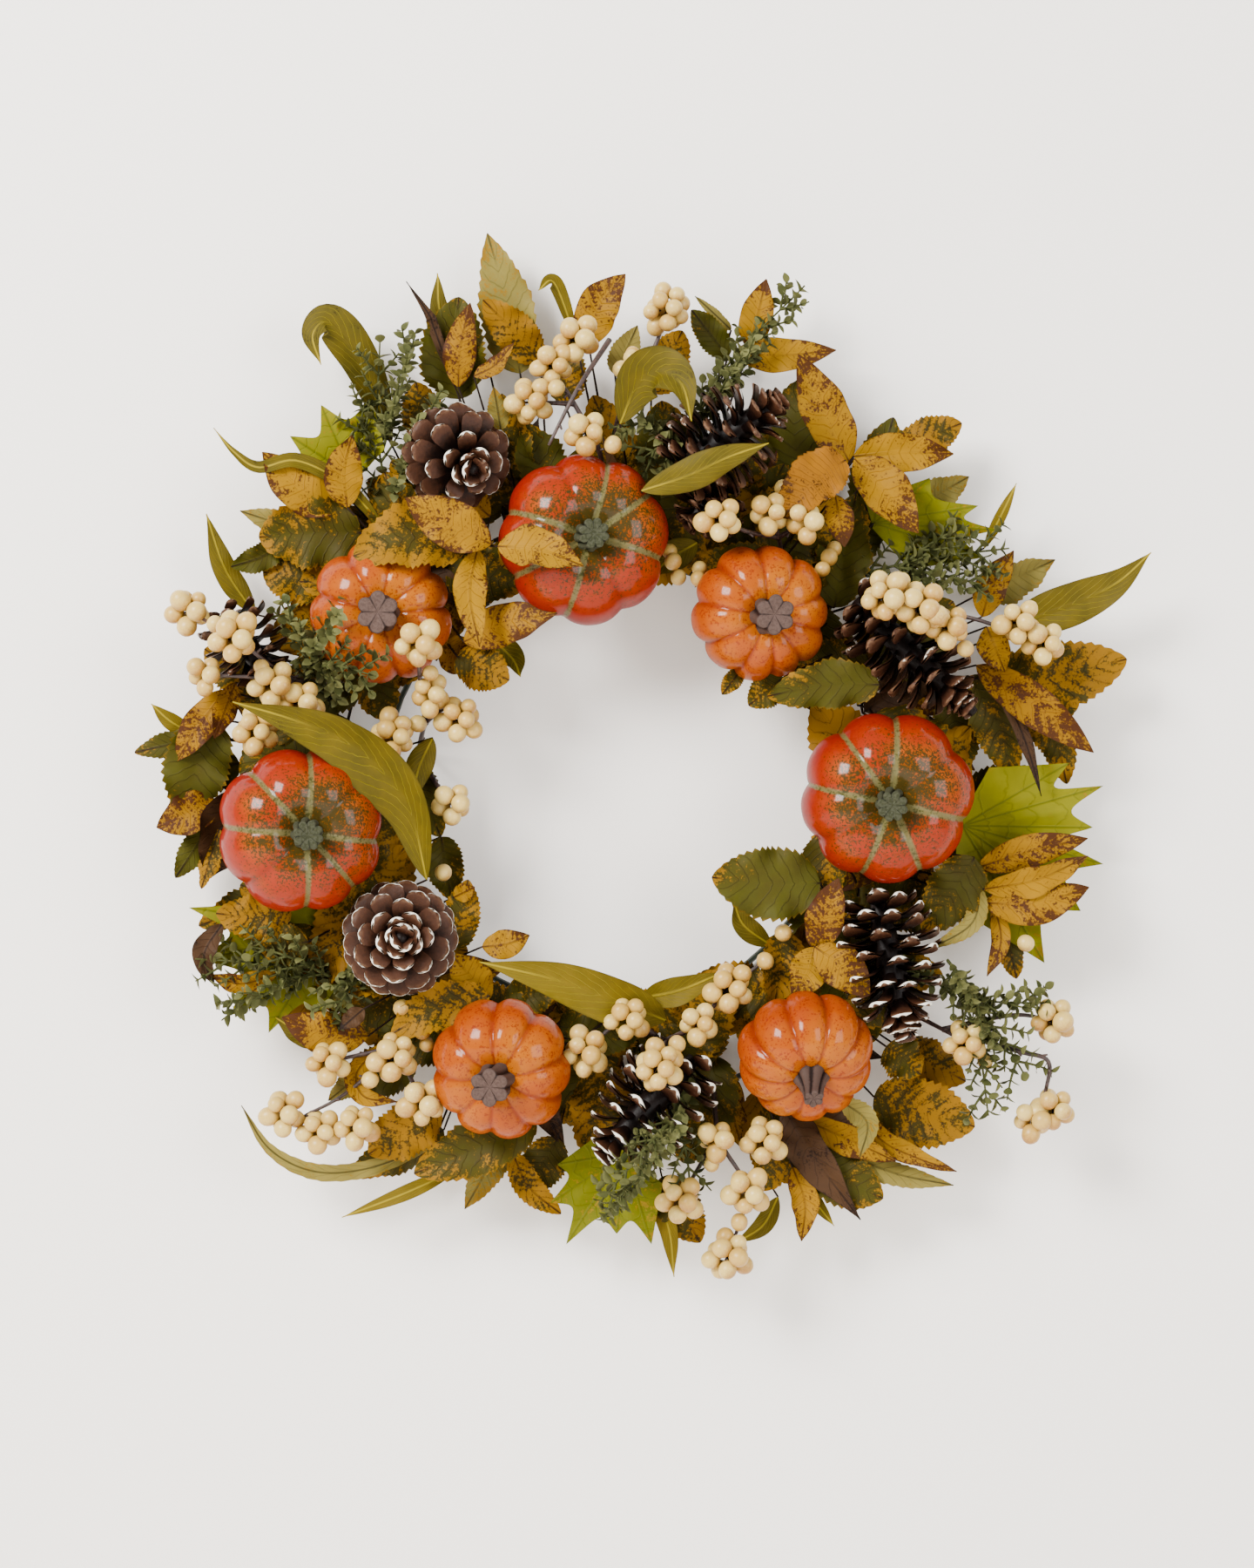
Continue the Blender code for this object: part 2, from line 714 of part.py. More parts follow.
def make_stem(name, diameter, colour_name, flare, length):
    """A stem that stands in the pumpkin's seat, ribbed towards its cut top."""
    bm = stem_cone(diameter, flare, length, 0)
    top = max(vertex.co.z for vertex in bm.verts)
    for vertex in bm.verts:
        if vertex.co.z > top - GAP:
            around = math.atan2(vertex.co.y, vertex.co.x)
            vertex.co.xy *= 1 - RIB_DEPTH * (1 - abs(math.cos(around * STEM_RIBS / 2)))
    bm.transform(PUMPKIN_FRAMES[name] @ Matrix.Translation((0, 0, GAP)))
    add_part(name + "_stem", mesh_from(bm, name + "_stem"), colour_name, 30)


# Pine cones


def make_cone(name):
    """A turned outline whose rows of points stand out by turns, like scales."""
    foot, tip = CONE_ENDS[name]
    length = (tip - foot).length
    bm = bmesh.new()
    bmesh.ops.create_uvsphere(bm, u_segments=CONE_SEGMENTS, v_segments=CONE_ROWS, radius=1)
    for vertex in bm.verts:
        share = math.acos(max(-1, min(1, -vertex.co.z))) / math.pi
        out = math.hypot(vertex.co.x, vertex.co.y)
        if out > 1e-6:
            row = round(share * CONE_ROWS)
            column = round(math.atan2(vertex.co.y, vertex.co.x) / math.tau * CONE_SEGMENTS)
            scale = 1.0 if (row + column) % 2 else SCALE_GAP
            vertex.co.xy *= cone_radius(share) * scale * CONE_DIAMETER / 2 / out
        vertex.co.z = (share - 0.5) * length
    axis = (tip - foot).normalized()
    middle = (foot + tip) / 2
    bm.transform(Matrix.Translation(middle) @ axis.to_track_quat("Z", "Y").to_matrix().to_4x4())
    angle, outer = nearest_binding(middle)
    path = pick_path(angle + BINDING_TURNS.get(name, 0), outer, middle)
    join_as_one(name, [mesh_from(bm, name), wire_mesh(name + "_pick", path, PICK_WIRE)], "cone")


# Berries


def cluster_mesh(centre, count):
    """A cluster as one lumpy ball: the corners where five faces meet stand out as berries."""
    bm = bmesh.new()
    bmesh.ops.create_icosphere(bm, subdivisions=2, radius=cluster_radius(count))
    for vertex in bm.verts:
        if len(vertex.link_edges) > 5:
            vertex.co *= 1 - BERRY_DIAMETER * BERRY_RELIEF / cluster_radius(count)
    bm.transform(Matrix.Translation(centre))
    return mesh_from(bm, "cluster")


def make_berries(name, angle_deg, outer, fork_mm):
    """A spray: one wire from the ring to a fork, and a twig from the fork to each cluster."""
    fork = place(*fork_mm[:2], fork_mm[2] * MM)
    meshes = [wire_mesh(name + "_pick", pick_path(angle_deg, outer, fork), PICK_WIRE)]
    for (spray, i), (centre, count) in CLUSTERS.items():
        if spray != name:
            continue
        meshes.append(wire_mesh(f"{name}_twig_{i}", [fork, centre], TWIG_WIRE, 4))
        meshes.append(cluster_mesh(centre, count))
    join_as_one(name, meshes, "berry")


# Leaves


def blade_mesh(points, width):
    """A thin leaf folded along its middle: pointed at both ends, and widest before its middle."""
    length_steps = 3 if len(points) == 2 else 2 * len(points) - 1
    path = smooth_path(points, length_steps)
    bm = bmesh.new()
    bmesh.ops.create_grid(bm, x_segments=length_steps, y_segments=2, size=0.5)
    for vertex in bm.verts:
        step = round((vertex.co.x + 0.5) * length_steps)
        across = vertex.co.y * 2
        before = path[max(step - 1, 0)]
        after = path[min(step + 1, length_steps)]
        side = (after - before).cross(Vector((0, 1, 0))).normalized()
        share = 0.06 + 0.90 * step / length_steps  # never quite a point at either end
        half = max(width / 2 * math.sin(math.pi * share**0.8), LEAF_NARROWEST)
        vertex.co = path[step] + side * across * half
        vertex.co.y -= abs(across) * half * LEAF_FOLD
    mesh = mesh_from(bm, "blade")
    holder = add_cutter("blade", mesh)
    thick = holder.modifiers.new("thick", "SOLIDIFY")
    thick.thickness = LEAF_THICKNESS
    thick.offset = 0
    bpy.context.view_layer.update()
    graph = bpy.context.evaluated_depsgraph_get()
    solid = bpy.data.meshes.new_from_object(holder.evaluated_get(graph))
    bpy.data.objects.remove(holder, do_unlink=True)
    bm = bmesh.new()
    bm.from_mesh(solid)
    bmesh.ops.recalc_face_normals(bm, faces=bm.faces)
    bm.to_mesh(solid)
    bm.free()
    return solid


def make_leaf_spray(name, angle_deg, outer, layer, colour_name, leaves):
    """Leaves on wires that part where the spray is bound to the ring."""
    in_front = layer >= len(LEAF_LAYERS)
    depth = FRONT_LEAF_LAYER if in_front else LEAF_LAYERS[layer]
    seat = hoop_seat(angle_deg, outer)
    knot = Vector((seat.x, HOOP_FRONT - depth, seat.z))
    if in_front:
        foot = place(leaves[0][1], leaves[0][2], depth)
        knot = Vector((foot.x, knot.y, foot.z))
        low = Vector((foot.x, HOOP_FRONT - LEAF_LAYERS[2], foot.z))
        out = Vector((seat.x, low.y, seat.z))
        meshes = [wire_mesh(name + "_stalk", [seat, out, low, knot], PICK_WIRE)]
    else:
        meshes = [wire_mesh(name + "_stalk", [seat, knot - Vector((0, TWIG_WIRE / 2, 0))], PICK_WIRE)]
    for number, (width, *flat) in enumerate(leaves):
        own_depth = depth + LEAF_STAGGER * (number % 3)
        points = [place(flat[k], flat[k + 1], own_depth) for k in range(0, len(flat), 2)]
        meshes.append(blade_mesh(points, width * MM))
        into = (points[1] - points[0]).normalized() * width * MM * 0.25
        if (points[0] - knot).length > PICK_WIRE / 2:
            meshes.append(wire_mesh(name + "_wire", [knot, points[0] + into], TWIG_WIRE, 4))
    join_as_one(name, meshes, colour_name)


# Greenery


def make_sprig(name, angle_deg, outer, branches):
    """Branching wires with a pair of small thick leaves at each step."""
    seat = hoop_seat(angle_deg, outer)
    meshes = []
    for number, flat in enumerate(branches):
        points = [place(flat[k], flat[k + 1], SPRIG_LAYER) for k in range(0, len(flat), 2)]
        if number == 0:
            bend = Vector((seat.x, HOOP_FRONT - SPRIG_LAYER, seat.z))
            meshes.append(wire_mesh(name + "_pick", [seat, bend, points[0]], TWIG_WIRE))
        steps = max(2, round(sum((b - a).length for a, b in zip(points, points[1:])) / SPRIG_STEP))
        path = smooth_path(points, steps)
        meshes.append(wire_mesh(name + "_twig", path, TWIG_WIRE, 4))
        for step in range(1, steps + 1):
            bm = bmesh.new()
            bmesh.ops.create_cube(bm, size=1)
            bm.transform(Matrix.Rotation(math.pi / 4, 4, "Y"))
            bmesh.ops.scale(bm, vec=Vector(SPRIG_LEAF_SHAPE) * SPRIG_LEAF, verts=bm.verts)
            bm.transform(Matrix.Rotation(step * SPRIG_LEAF_TURN, 4, "Y"))
            bm.transform(Matrix.Translation(path[step]))
            meshes.append(mesh_from(bm, name + "_leaf"))
    join_as_one(name, meshes, "greenery")


# The wreath

make_hoop("outer_hoop", OUTER_HOOP_RADIUS, 72)
make_hoop("inner_hoop", INNER_HOOP_RADIUS, 48)
for i, angle in enumerate(TIE_ANGLES):
    make_tie(f"cross_tie_{i + 1}", angle)
make_hanging_loop()

for pumpkin, (pumpkin_diameter, *_) in PUMPKINS.items():
    if pumpkin.startswith("large"):
        make_pumpkin(pumpkin, pumpkin_diameter, "red_pumpkin", *GREEN_STEM)
        make_stem(pumpkin, pumpkin_diameter, "green_stem", *GREEN_STEM)
    else:
        make_pumpkin(pumpkin, pumpkin_diameter, "orange_pumpkin", *GREY_STEM)
        make_stem(pumpkin, pumpkin_diameter, "grey_stem", *GREY_STEM)
for cone in CONES:
    make_cone(cone)
for spray, (angle, outer, fork) in BERRY_WIRES.items():
    make_berries(spray, angle, outer, fork)
for spray, (angle, outer, layer, colour, leaves) in LEAF_SPRAYS.items():
    make_leaf_spray(spray, angle, outer, layer, colour, leaves)
for sprig, (angle, outer, branches) in GREENERY.items():
    make_sprig(sprig, angle, outer, branches)
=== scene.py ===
# %% [markdown]
# # A harvest door wreath
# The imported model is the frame: a wire ring, a hanging loop, and one plain solid for each
# pumpkin, cone and spray. This notebook makes the looks around it: lacquered pumpkins, scaled
# cones, berries on twigs, printed cloth leaves and small grey-green sprigs.

import math
import random

import bpy
import numpy as np
from mathutils import Matrix, Vector


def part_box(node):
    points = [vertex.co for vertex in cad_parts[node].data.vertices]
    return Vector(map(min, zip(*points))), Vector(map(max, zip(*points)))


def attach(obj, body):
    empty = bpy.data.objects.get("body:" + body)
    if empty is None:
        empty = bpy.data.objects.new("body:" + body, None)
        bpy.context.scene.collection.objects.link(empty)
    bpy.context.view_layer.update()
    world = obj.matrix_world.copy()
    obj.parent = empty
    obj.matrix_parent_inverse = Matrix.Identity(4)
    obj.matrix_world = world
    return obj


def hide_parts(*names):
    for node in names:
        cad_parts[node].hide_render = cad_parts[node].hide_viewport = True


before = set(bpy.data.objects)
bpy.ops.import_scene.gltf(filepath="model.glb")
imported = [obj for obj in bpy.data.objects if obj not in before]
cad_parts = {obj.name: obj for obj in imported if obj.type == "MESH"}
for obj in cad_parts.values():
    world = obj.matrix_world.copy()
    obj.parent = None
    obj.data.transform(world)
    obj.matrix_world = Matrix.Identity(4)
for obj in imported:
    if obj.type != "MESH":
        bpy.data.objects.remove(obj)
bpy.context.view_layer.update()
MM = 0.001

# %% [markdown]
# ## Where things are
# A wreath maker works round the ring, so every place is given in millimetres from the ring's
# centre, plus a depth in front of the hoops. The centre, the ring's radius and the hoops' front
# are read from the frame. If the ring grows, every place moves outward by as much.

# %% The ring's centre, radii and front
HOOP_LOW, HOOP_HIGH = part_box("outer_hoop")
INNER_LOW, INNER_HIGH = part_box("inner_hoop")
CENTRE = (HOOP_LOW + HOOP_HIGH) / 2
HOOP_FRONT = HOOP_LOW.y
WIRE_RADIUS = (HOOP_HIGH.y - HOOP_LOW.y) / 2
OUTER_RADIUS = (HOOP_HIGH.x - HOOP_LOW.x) / 2  # to the outside of each hoop's wire
INNER_RADIUS = (INNER_HIGH.x - INNER_LOW.x) / 2
RING_RADIUS = (OUTER_RADIUS + INNER_RADIUS) / 2
DRAWN_RADIUS = 0.160  # the ring radius that the places below are drawn for


def place(x, z, depth):
    """A point given in mm from the ring's centre, and in mm ahead of the hoops."""
    flat = Vector((x, 0, z)) * MM
    flat += flat.normalized() * (RING_RADIUS - DRAWN_RADIUS)
    return Vector((CENTRE.x, HOOP_FRONT, CENTRE.z)) + flat - Vector((0, depth * MM, 0))


print("ring radius", round(RING_RADIUS, 4), "centre", [round(v, 4) for v in CENTRE])

# %% [markdown]
# ## Camera
# The wreath is seen straight on, level with its middle, by a long lens that flattens it little.
# The lens follows from how far off the camera stands and how much height it has to take in.

# %% Camera
VIEW_HEIGHT = 0.90
VIEW_DISTANCE = 2.5
MIDDLE_DEPTH = 0.055  # of the decorations, ahead of the hoops
camera = bpy.data.objects.new("camera", bpy.data.cameras.new("camera"))
bpy.context.scene.collection.objects.link(camera)
camera.data.sensor_width = 36
camera.data.lens = camera.data.sensor_width * VIEW_DISTANCE / VIEW_HEIGHT
camera.location = CENTRE + Vector((0.010, -MIDDLE_DEPTH - VIEW_DISTANCE, 0))
camera.rotation_euler = (math.pi / 2, 0, 0)
bpy.context.scene.camera = camera
print("lens", camera.data.lens, "mm")

# %% [markdown]
# ## Shader arithmetic
# Each finish is worked out as an expression, because a page of node links is hard to read.
# `Value` wraps a shader socket and turns +, -, *, ** and abs() into Math nodes. `Finish` holds
# one material and adds every other node with its one method `node`.

# %% Value


class Value:
    """A shader socket that can be calculated with."""

    def __init__(self, finish, socket):
        self.finish = finish
        self.socket = socket

    def math(self, operation, first, second=0.0, clamp=False):
        settings = {"operation": operation, "use_clamp": clamp}
        return self.finish.node("ShaderNodeMath", settings, {0: first, 1: second})

    def __add__(self, other):
        return self.math("ADD", self, other)

    __radd__ = __add__

    def __sub__(self, other):
        return self.math("SUBTRACT", self, other)

    def __rsub__(self, other):
        return self.math("SUBTRACT", other, self)

    def __mul__(self, other):
        return self.math("MULTIPLY", self, other)

    __rmul__ = __mul__

    def __pow__(self, other):
        return self.math("POWER", self, other)

    def __abs__(self):
        return self.math("ABSOLUTE", self)

    def clamp(self):
        return self.math("ADD", self, 0.0, clamp=True)

    def wave(self):
        """1 where the value is whole, 0 half-way between."""
        return self.math("COSINE", self * math.tau) * 0.5 + 0.5

    def step(self, low, high):
        """A smooth step from 0 at low to 1 at high."""
        settings = {"interpolation_type": "SMOOTHSTEP", "data_type": "FLOAT"}
        return self.finish.node("ShaderNodeMapRange", settings, {0: self, 1: low, 2: high})


# %% [markdown]
# A finish is one Principled material. Its settings are given by the names of its sockets, and
# what varies over the surface comes from noise in the piece's own space or from numbers that
# were stored on its points.

# %% Finish


class Finish:
    """One Principled material, whose sockets take numbers, colours and expressions."""

    def __init__(self, name, **sockets):
        self.material = bpy.data.materials.new(name)
        self.material.use_nodes = True
        self.tree = self.material.node_tree
        self.shader = self.tree.nodes["Principled BSDF"]
        for socket, value in sockets.items():
            self.set(socket, value)

    def fill(self, socket, value):
        if isinstance(value, Value):
            self.tree.links.new(value.socket, socket)
        elif isinstance(value, tuple) and len(value) == 3 and socket.type == "RGBA":
            socket.default_value = (*value, 1)
        else:
            socket.default_value = value

    def set(self, socket, value):
        names = {"specular_ior_level": "Specular IOR Level"}
        self.fill(self.shader.inputs[names.get(socket, socket.replace("_", " ").title())], value)

    def node(self, kind, settings, inputs, output=0):
        """A new node: its settings first, then its sockets, by their names or places."""
        made = self.tree.nodes.new(kind)
        for setting, value in settings.items():
            setattr(made, setting, value)
        for socket, value in inputs.items():
            self.fill(made.inputs[socket], value)
        return Value(self, made.outputs[output])

    def attribute(self, name):
        """A number stored on the mesh's points."""
        return self.node("ShaderNodeAttribute", {"attribute_name": name}, {}, output="Fac")

    def noise(self, scale, detail=3.0):
        where = self.node("ShaderNodeTexCoord", {}, {}, output="Object")
        inputs = {"Vector": where, "Scale": scale, "Detail": detail, "Roughness": 0.55}
        return self.node("ShaderNodeTexNoise", {}, inputs)

    def mix(self, base, over, factor):
        """The colour over laid on base, as thickly as factor says."""
        inputs = {"Factor": factor, 6: base, 7: over}  # the sockets of the colours A and B
        return self.node("ShaderNodeMix", {"data_type": "RGBA"}, inputs, output=2)

    def bump(self, height, strength, distance):
        inputs = {"Strength": strength, "Distance": distance, "Height": height}
        self.set("normal", self.node("ShaderNodeBump", {}, inputs))


def rgb(text):
    """A colour written as in a paint chart, #RRGGBB, made linear for the shader."""
    parts = [int(text[i : i + 2], 16) / 255 for i in (1, 3, 5)]
    return tuple(c / 12.92 if c <= 0.04045 else ((c + 0.055) / 1.055) ** 2.4 for c in parts)


print("finishes are ready to be mixed")

# %% [markdown]
# ## Wall and floor
# The wreath hangs on a pale wall that touches the backs of its cross ties. The wall's back is
# see-through, so the wreath can also be looked at from behind: a material can ask whether a face
# is seen from its back, and mixes in a clear shader where it is.

# %% Wall and floor


def add_stage(name, near, far):
    """A broad strip of the room between two edges, each given as (y, z)."""
    paint = Finish(name, base_color=WALL_COLOUR, roughness=0.9)
    facing_away = paint.node("ShaderNodeNewGeometry", {}, {}, output="Backfacing")
    clear = paint.node("ShaderNodeBsdfTransparent", {}, {})
    opaque = Value(paint, paint.shader.outputs[0])
    both = paint.node("ShaderNodeMixShader", {}, {0: facing_away, 1: opaque, 2: clear})
    paint.tree.links.new(both.socket, paint.tree.nodes["Material Output"].inputs["Surface"])
    mesh = bpy.data.meshes.new(name)
    corners = [(-SIDE, *near), (SIDE, *near), (SIDE, *far), (-SIDE, *far)]
    mesh.from_pydata(corners, [], [(0, 1, 2, 3)])
    mesh.materials.append(paint.material)
    obj = bpy.data.objects.new(name, mesh)
    bpy.context.scene.collection.objects.link(obj)


WALL_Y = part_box("cross_tie_1")[1].y + 0.001
FLOOR_Z = CENTRE.z - 0.75
WALL_TOP = 2
SIDE = 3  # half the room's width
NEAR_Y = -4
WALL_COLOUR = (0.96, 0.92, 0.87)
add_stage("wall", (WALL_Y, FLOOR_Z), (WALL_Y, WALL_TOP))
add_stage("floor", (NEAR_Y, FLOOR_Z), (WALL_Y, FLOOR_Z))
print("wall at", round(WALL_Y, 4), "floor at", round(FLOOR_Z, 3))

# %% [markdown]
# ## Light
# A large soft light stands at the upper left and makes the shadows, and a weaker one fills from
# the right. The world is a plain warm white, which lights the wall evenly.

# %% Lights


def soft_light(name, location, size, power, colour):
    light = bpy.data.lights.new(name, "AREA")
    light.shape = "SQUARE"
    light.size = size
    light.energy = power
    light.color = colour
    obj = bpy.data.objects.new(name, light)
    bpy.context.scene.collection.objects.link(obj)
    obj.location = location
    obj.rotation_euler = (CENTRE - Vector(location)).to_track_quat("-Z", "Y").to_euler()
    print(name, power, "W")


soft_light("key_light", (-1.5, -2.0, 1.1), 1.1, 190, (1.0, 0.985, 0.96))
soft_light("fill_light", (1.9, -2.2, 0.2), 1.6, 66, (0.97, 0.985, 1.0))
world = bpy.data.worlds.new("studio")
world.use_nodes = True
world.node_tree.nodes["Background"].inputs["Color"].default_value = (1, 0.995, 0.985, 1)
world.node_tree.nodes["Background"].inputs["Strength"].default_value = 0.72
bpy.context.scene.world = world

# %% [markdown]
# ## Mesh helper
# Leaves, berries and scales are many small pieces of one kind, so each is added as rows of
# points to one `Shape`, with a few numbers on every point that the finish reads later.

# %% Shape


class Shape:
    """Points, faces and per-point numbers of one piece, gathered before the mesh is made."""

    def __init__(self):
        self.points = []
        self.faces = []
        self.numbers = {}
        self.finishes = []
        self.slots = []

    def use(self, finish):
        """The faces added from now on get this finish."""
        if finish not in self.finishes:
            self.finishes.append(finish)
        self.current = self.finishes.index(finish)

    def add_grid(self, points, numbers, closed=False, caps=False):
        """points[i][j] as a grid of faces; closed joins the last column to the first."""
        start = sum(len(rows) for rows in self.points)
        points = np.asarray(points, float)
        rows, columns = points.shape[:2]
        self.points.append(points.reshape(-1, 3))
        for key, values in numbers.items():
            spread = np.broadcast_to(np.asarray(values, float), (rows, columns))
            self.numbers.setdefault(key, []).append(spread.reshape(-1))
        last = columns if closed else columns - 1
        for i in range(rows - 1):
            for j in range(last):
                right = (j + 1) % columns
                a = start + i * columns
                self.faces.append((a + j, a + right, a + columns + right, a + columns + j))
        if caps:
            self.faces.append([start + j for j in range(columns)][::-1])
            self.faces.append([start + (rows - 1) * columns + j for j in range(columns)])
        self.slots += [self.current] * (len(self.faces) - len(self.slots))

    def make(self, name, origin=(0, 0, 0)):
        """The finished object, smooth, with its points around its origin."""
        points = np.concatenate(self.points) - np.array(origin)
        mesh = bpy.data.meshes.new(name)
        mesh.from_pydata(points.tolist(), [], self.faces)
        for key, values in self.numbers.items():
            mesh.attributes.new(key, "FLOAT", "POINT").data.foreach_set("value", np.concatenate(values))
        mesh.shade_smooth()
        for finish in self.finishes:
            mesh.materials.append(finish.material)
        mesh.polygons.foreach_set("material_index", self.slots)
        obj = bpy.data.objects.new(name, mesh)
        obj.matrix_world = Matrix.Translation(Vector(origin))
        bpy.context.scene.collection.objects.link(obj)
        return obj


def stand_in(shape, node, origin=(0, 0, 0)):
    """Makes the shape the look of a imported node, riding on the wreath."""
    obj = shape.make(node + "_look", origin)
    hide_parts(node)
    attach(obj, "wreath")
    print(obj.name, len(obj.data.polygons), "faces")


# %% [markdown]
# Twigs, stems and wires are all tubes along a smooth path. The path goes through a few chosen
# points, and the tube carries its first ring along without twisting.

# %% Paths and tubes


def smooth_path(points, count):
    """Points spread along a Catmull-Rom curve through the given ones, as an array."""
    points = [np.array(point) for point in points]
    ends = [2 * points[0] - points[1], *points, 2 * points[-1] - points[-2]]
    path = []
    for i in range(count + 1):
        t = i / count * (len(points) - 1)
        k = min(int(t), len(points) - 2)
        t -= k
        a, b, c, d = ends[k : k + 4]
        path.append(
            0.5 * (2 * b + (c - a) * t + (2 * a - 5 * b + 4 * c - d) * t**2
                   + (3 * b - a - 3 * c + d) * t**3)
        )
    return np.array(path)


def add_tube(shape, path, radii, numbers, sides=8):
    """A round tube along the path, closed at both ends."""
    rows = []
    side = None
    for i, point in enumerate(path):
        along = path[min(i + 1, len(path) - 1)] - path[max(i - 1, 0)]
        along /= np.linalg.norm(along) + 1e-12
        if side is None:
            side = np.cross(along, (0.3, 0.9, 0.2))
        side -= along * np.dot(side, along)
        side /= np.linalg.norm(side)
        up = np.cross(along, side)
        angles = np.arange(sides) * math.tau / sides
        ring = np.outer(np.cos(angles), side) + np.outer(np.sin(angles), up)
        rows.append(point + ring * radii[i])
    shape.add_grid(rows, numbers, closed=True, caps=True)


def ring_points(radii, angles, heights):
    """Points round the Z axis."""
    return np.stack([radii * np.cos(angles), radii * np.sin(angles), heights + 0 * angles], 1)


print("meshes are ready to be made")

# %% [markdown]
# ## Frame wire
# The two hoops and their cross ties are welded steel wire with dark green enamel, and the hanging
# loop is the same wire, thinner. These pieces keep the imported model's shape: round wire needs no
# more detail. Only the enamel is added here.

# %% Enamel on the hoops, the ties and the loop
enamel = Finish("green_enamel", roughness=0.38)
grain = enamel.noise(90)
enamel.set("base_color", enamel.mix(rgb("#111A0E"), rgb("#1E2A1A"), grain.step(0.35, 0.75)))
enamel.bump(grain, 0.15, 0.0002)
WIRES = ("outer_hoop", "inner_hoop", "hanging_loop", *(f"cross_tie_{i}" for i in range(1, 6)))
for name in WIRES:
    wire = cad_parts[name]
    wire.data.materials.clear()
    wire.data.materials.append(enamel.material)
    wire.data.shade_smooth()
print("enamelled", ", ".join(WIRES))

# %% [markdown]
# ## Pumpkins
# The real ones are light foam shells, moulded with lobes, painted and clear-coated. Each is a ball
# pressed flat along its stem, with a crease between every two lobes and a dimple at the stem.
# Every point also knows how near a crease it is and how far from the stem, so the paint can put
# khaki stripes in the creases of the large ones, and painted shade in every crease: light on the
# large ones, deeper and redder on the small ones.
# Both kinds are one finish, whose stripes, spots and dark patches only the large ones have.

# %% Pumpkin skins


def pumpkin_skin(name, base, patch, crease, red_rim, striped):
    skin = Finish(name, roughness=0.5, specular_ior_level=0.02, coat_weight=0.32, coat_roughness=0.13)
    lobe = skin.attribute("lobe")
    pole = skin.attribute("pole")
    broad = skin.noise(24, 2)
    middling = skin.noise(260, 3)
    fine = skin.noise(760, 2)
    colour = skin.mix(rgb(base), rgb(patch), broad.step(0.40, 0.66))
    rim = (pole + (broad - 0.5) * 0.25 + (middling - 0.5) * 0.12).step(0.22, 0.44)
    colour = skin.mix(colour, rgb(red_rim), rim * (0.9 if striped else 0.45))
    # painted shade: the creases are darkened towards the crease colour
    crease_shade = 1 - (lobe + (middling - 0.5) * 0.3).step(0.0, 0.45)
    colour = skin.mix(colour, rgb(crease), crease_shade * (0.25 if striped else 0.6))
    freckle = (fine + (middling - 0.5) * 0.6).step(0.57, 0.63)
    colour = skin.mix(colour, rgb(crease), freckle * (0.22 if striped else 0.6))
    if striped:
        near_stem = (0.34 - pole) * 0.95 + (broad - 0.5) * 0.5
        shade = (middling * 0.7 + near_stem).step(0.42, 0.62) * 0.72
        colour = skin.mix(colour, rgb("#4A2E02"), shade * (1 - pole.step(0.22, 0.42)))
        spot = (fine + near_stem * 0.85).step(0.60, 0.66)
        colour = skin.mix(colour, rgb("#27280D"), spot * 0.85)
        ragged = (fine - 0.5) * 0.55 + (middling - 0.5) * 0.30
        stripe = skin.attribute("stripe")
        band = 1 - (stripe + ragged * 0.06).step(0.018, 0.046)
        pale = skin.mix(rgb("#5C5632"), rgb("#3A3A1A"), (fine + middling).step(0.95, 1.25))
        colour = skin.mix(colour, pale, band * (1 - pole.step(0.40, 0.62)) * 0.92)
    skin.set("base_color", colour)
    skin.bump(broad * 0.6 + middling * 0.3, 0.25, 0.0016)
    return skin


# name, base, patches, creases (painted shade in the creases, and the freckles), rim, whether striped
red_skin = pumpkin_skin("red_pumpkin_skin", "#802000", "#8C3E00", "#440500", "#740600", True)
orange_skin = pumpkin_skin("orange_pumpkin_skin", "#8C3C00", "#985000", "#641000", "#842400", False)
print("pumpkin skins mixed")

# %% [markdown]
# ## Stem paints
# A stem is a twisted, ribbed cone of painted foam, wide at its foot and cut off square at its end.
# The ribs run up its side as grooves, darkened with painted shade, and the same painted shade
# draws them as a star on the flat cut end. The large pumpkins' stems are rounder and greener.

# %% Stem paints


def stem_paint(name, side, groove_shade, cut):
    paint = Finish(name, roughness=0.62, specular_ior_level=0.12)
    rib = paint.attribute("rib")
    end = paint.attribute("end")
    grain = paint.noise(700, 4)
    # painted shade in the grooves between the ribs
    colour = paint.mix(rgb(groove_shade), rgb(side), (rib + (grain - 0.5) * 0.7).step(0.15, 0.75))
    face = paint.mix(rgb(cut), rgb(side), grain.step(0.40, 0.62))
    # painted shade as a star of grooves on the flat cut end
    face = paint.mix(rgb(groove_shade), face, (rib * 1.6 + grain - 0.3).step(0.1, 0.8))
    colour = paint.mix(colour, face, end)
    paint.set("base_color", colour)
    paint.bump(grain, 0.35, 0.0006)
    return paint


green_stem = stem_paint("green_stem", "#38392A", "#12140A", "#2A2C1A")
grey_stem = stem_paint("grey_stem", "#42332D", "#180F0D", "#4C3C36")
print("stem paints mixed")

# %% [markdown]
# ## Picks
# Every pumpkin and cone is mounted on a stiff wire, its pick, which the maker winds round the
# nearer hoop a few times. The coil is a helix round the hoop, worked out from its angle, and the
# wire then rises to the middle of the decoration, where it can't be seen.

# %% Picks
PICK_WIRE = 0.0009  # radius
COIL_RADIUS = 0.0028
COIL_PITCH = 0.0022
COIL_TURNS = 5
FRONT = np.array([0, -1.0, 0])
pick_finish = Finish("pick_wire", roughness=0.5)
pick_finish.set("base_color", rgb("#14180E"))


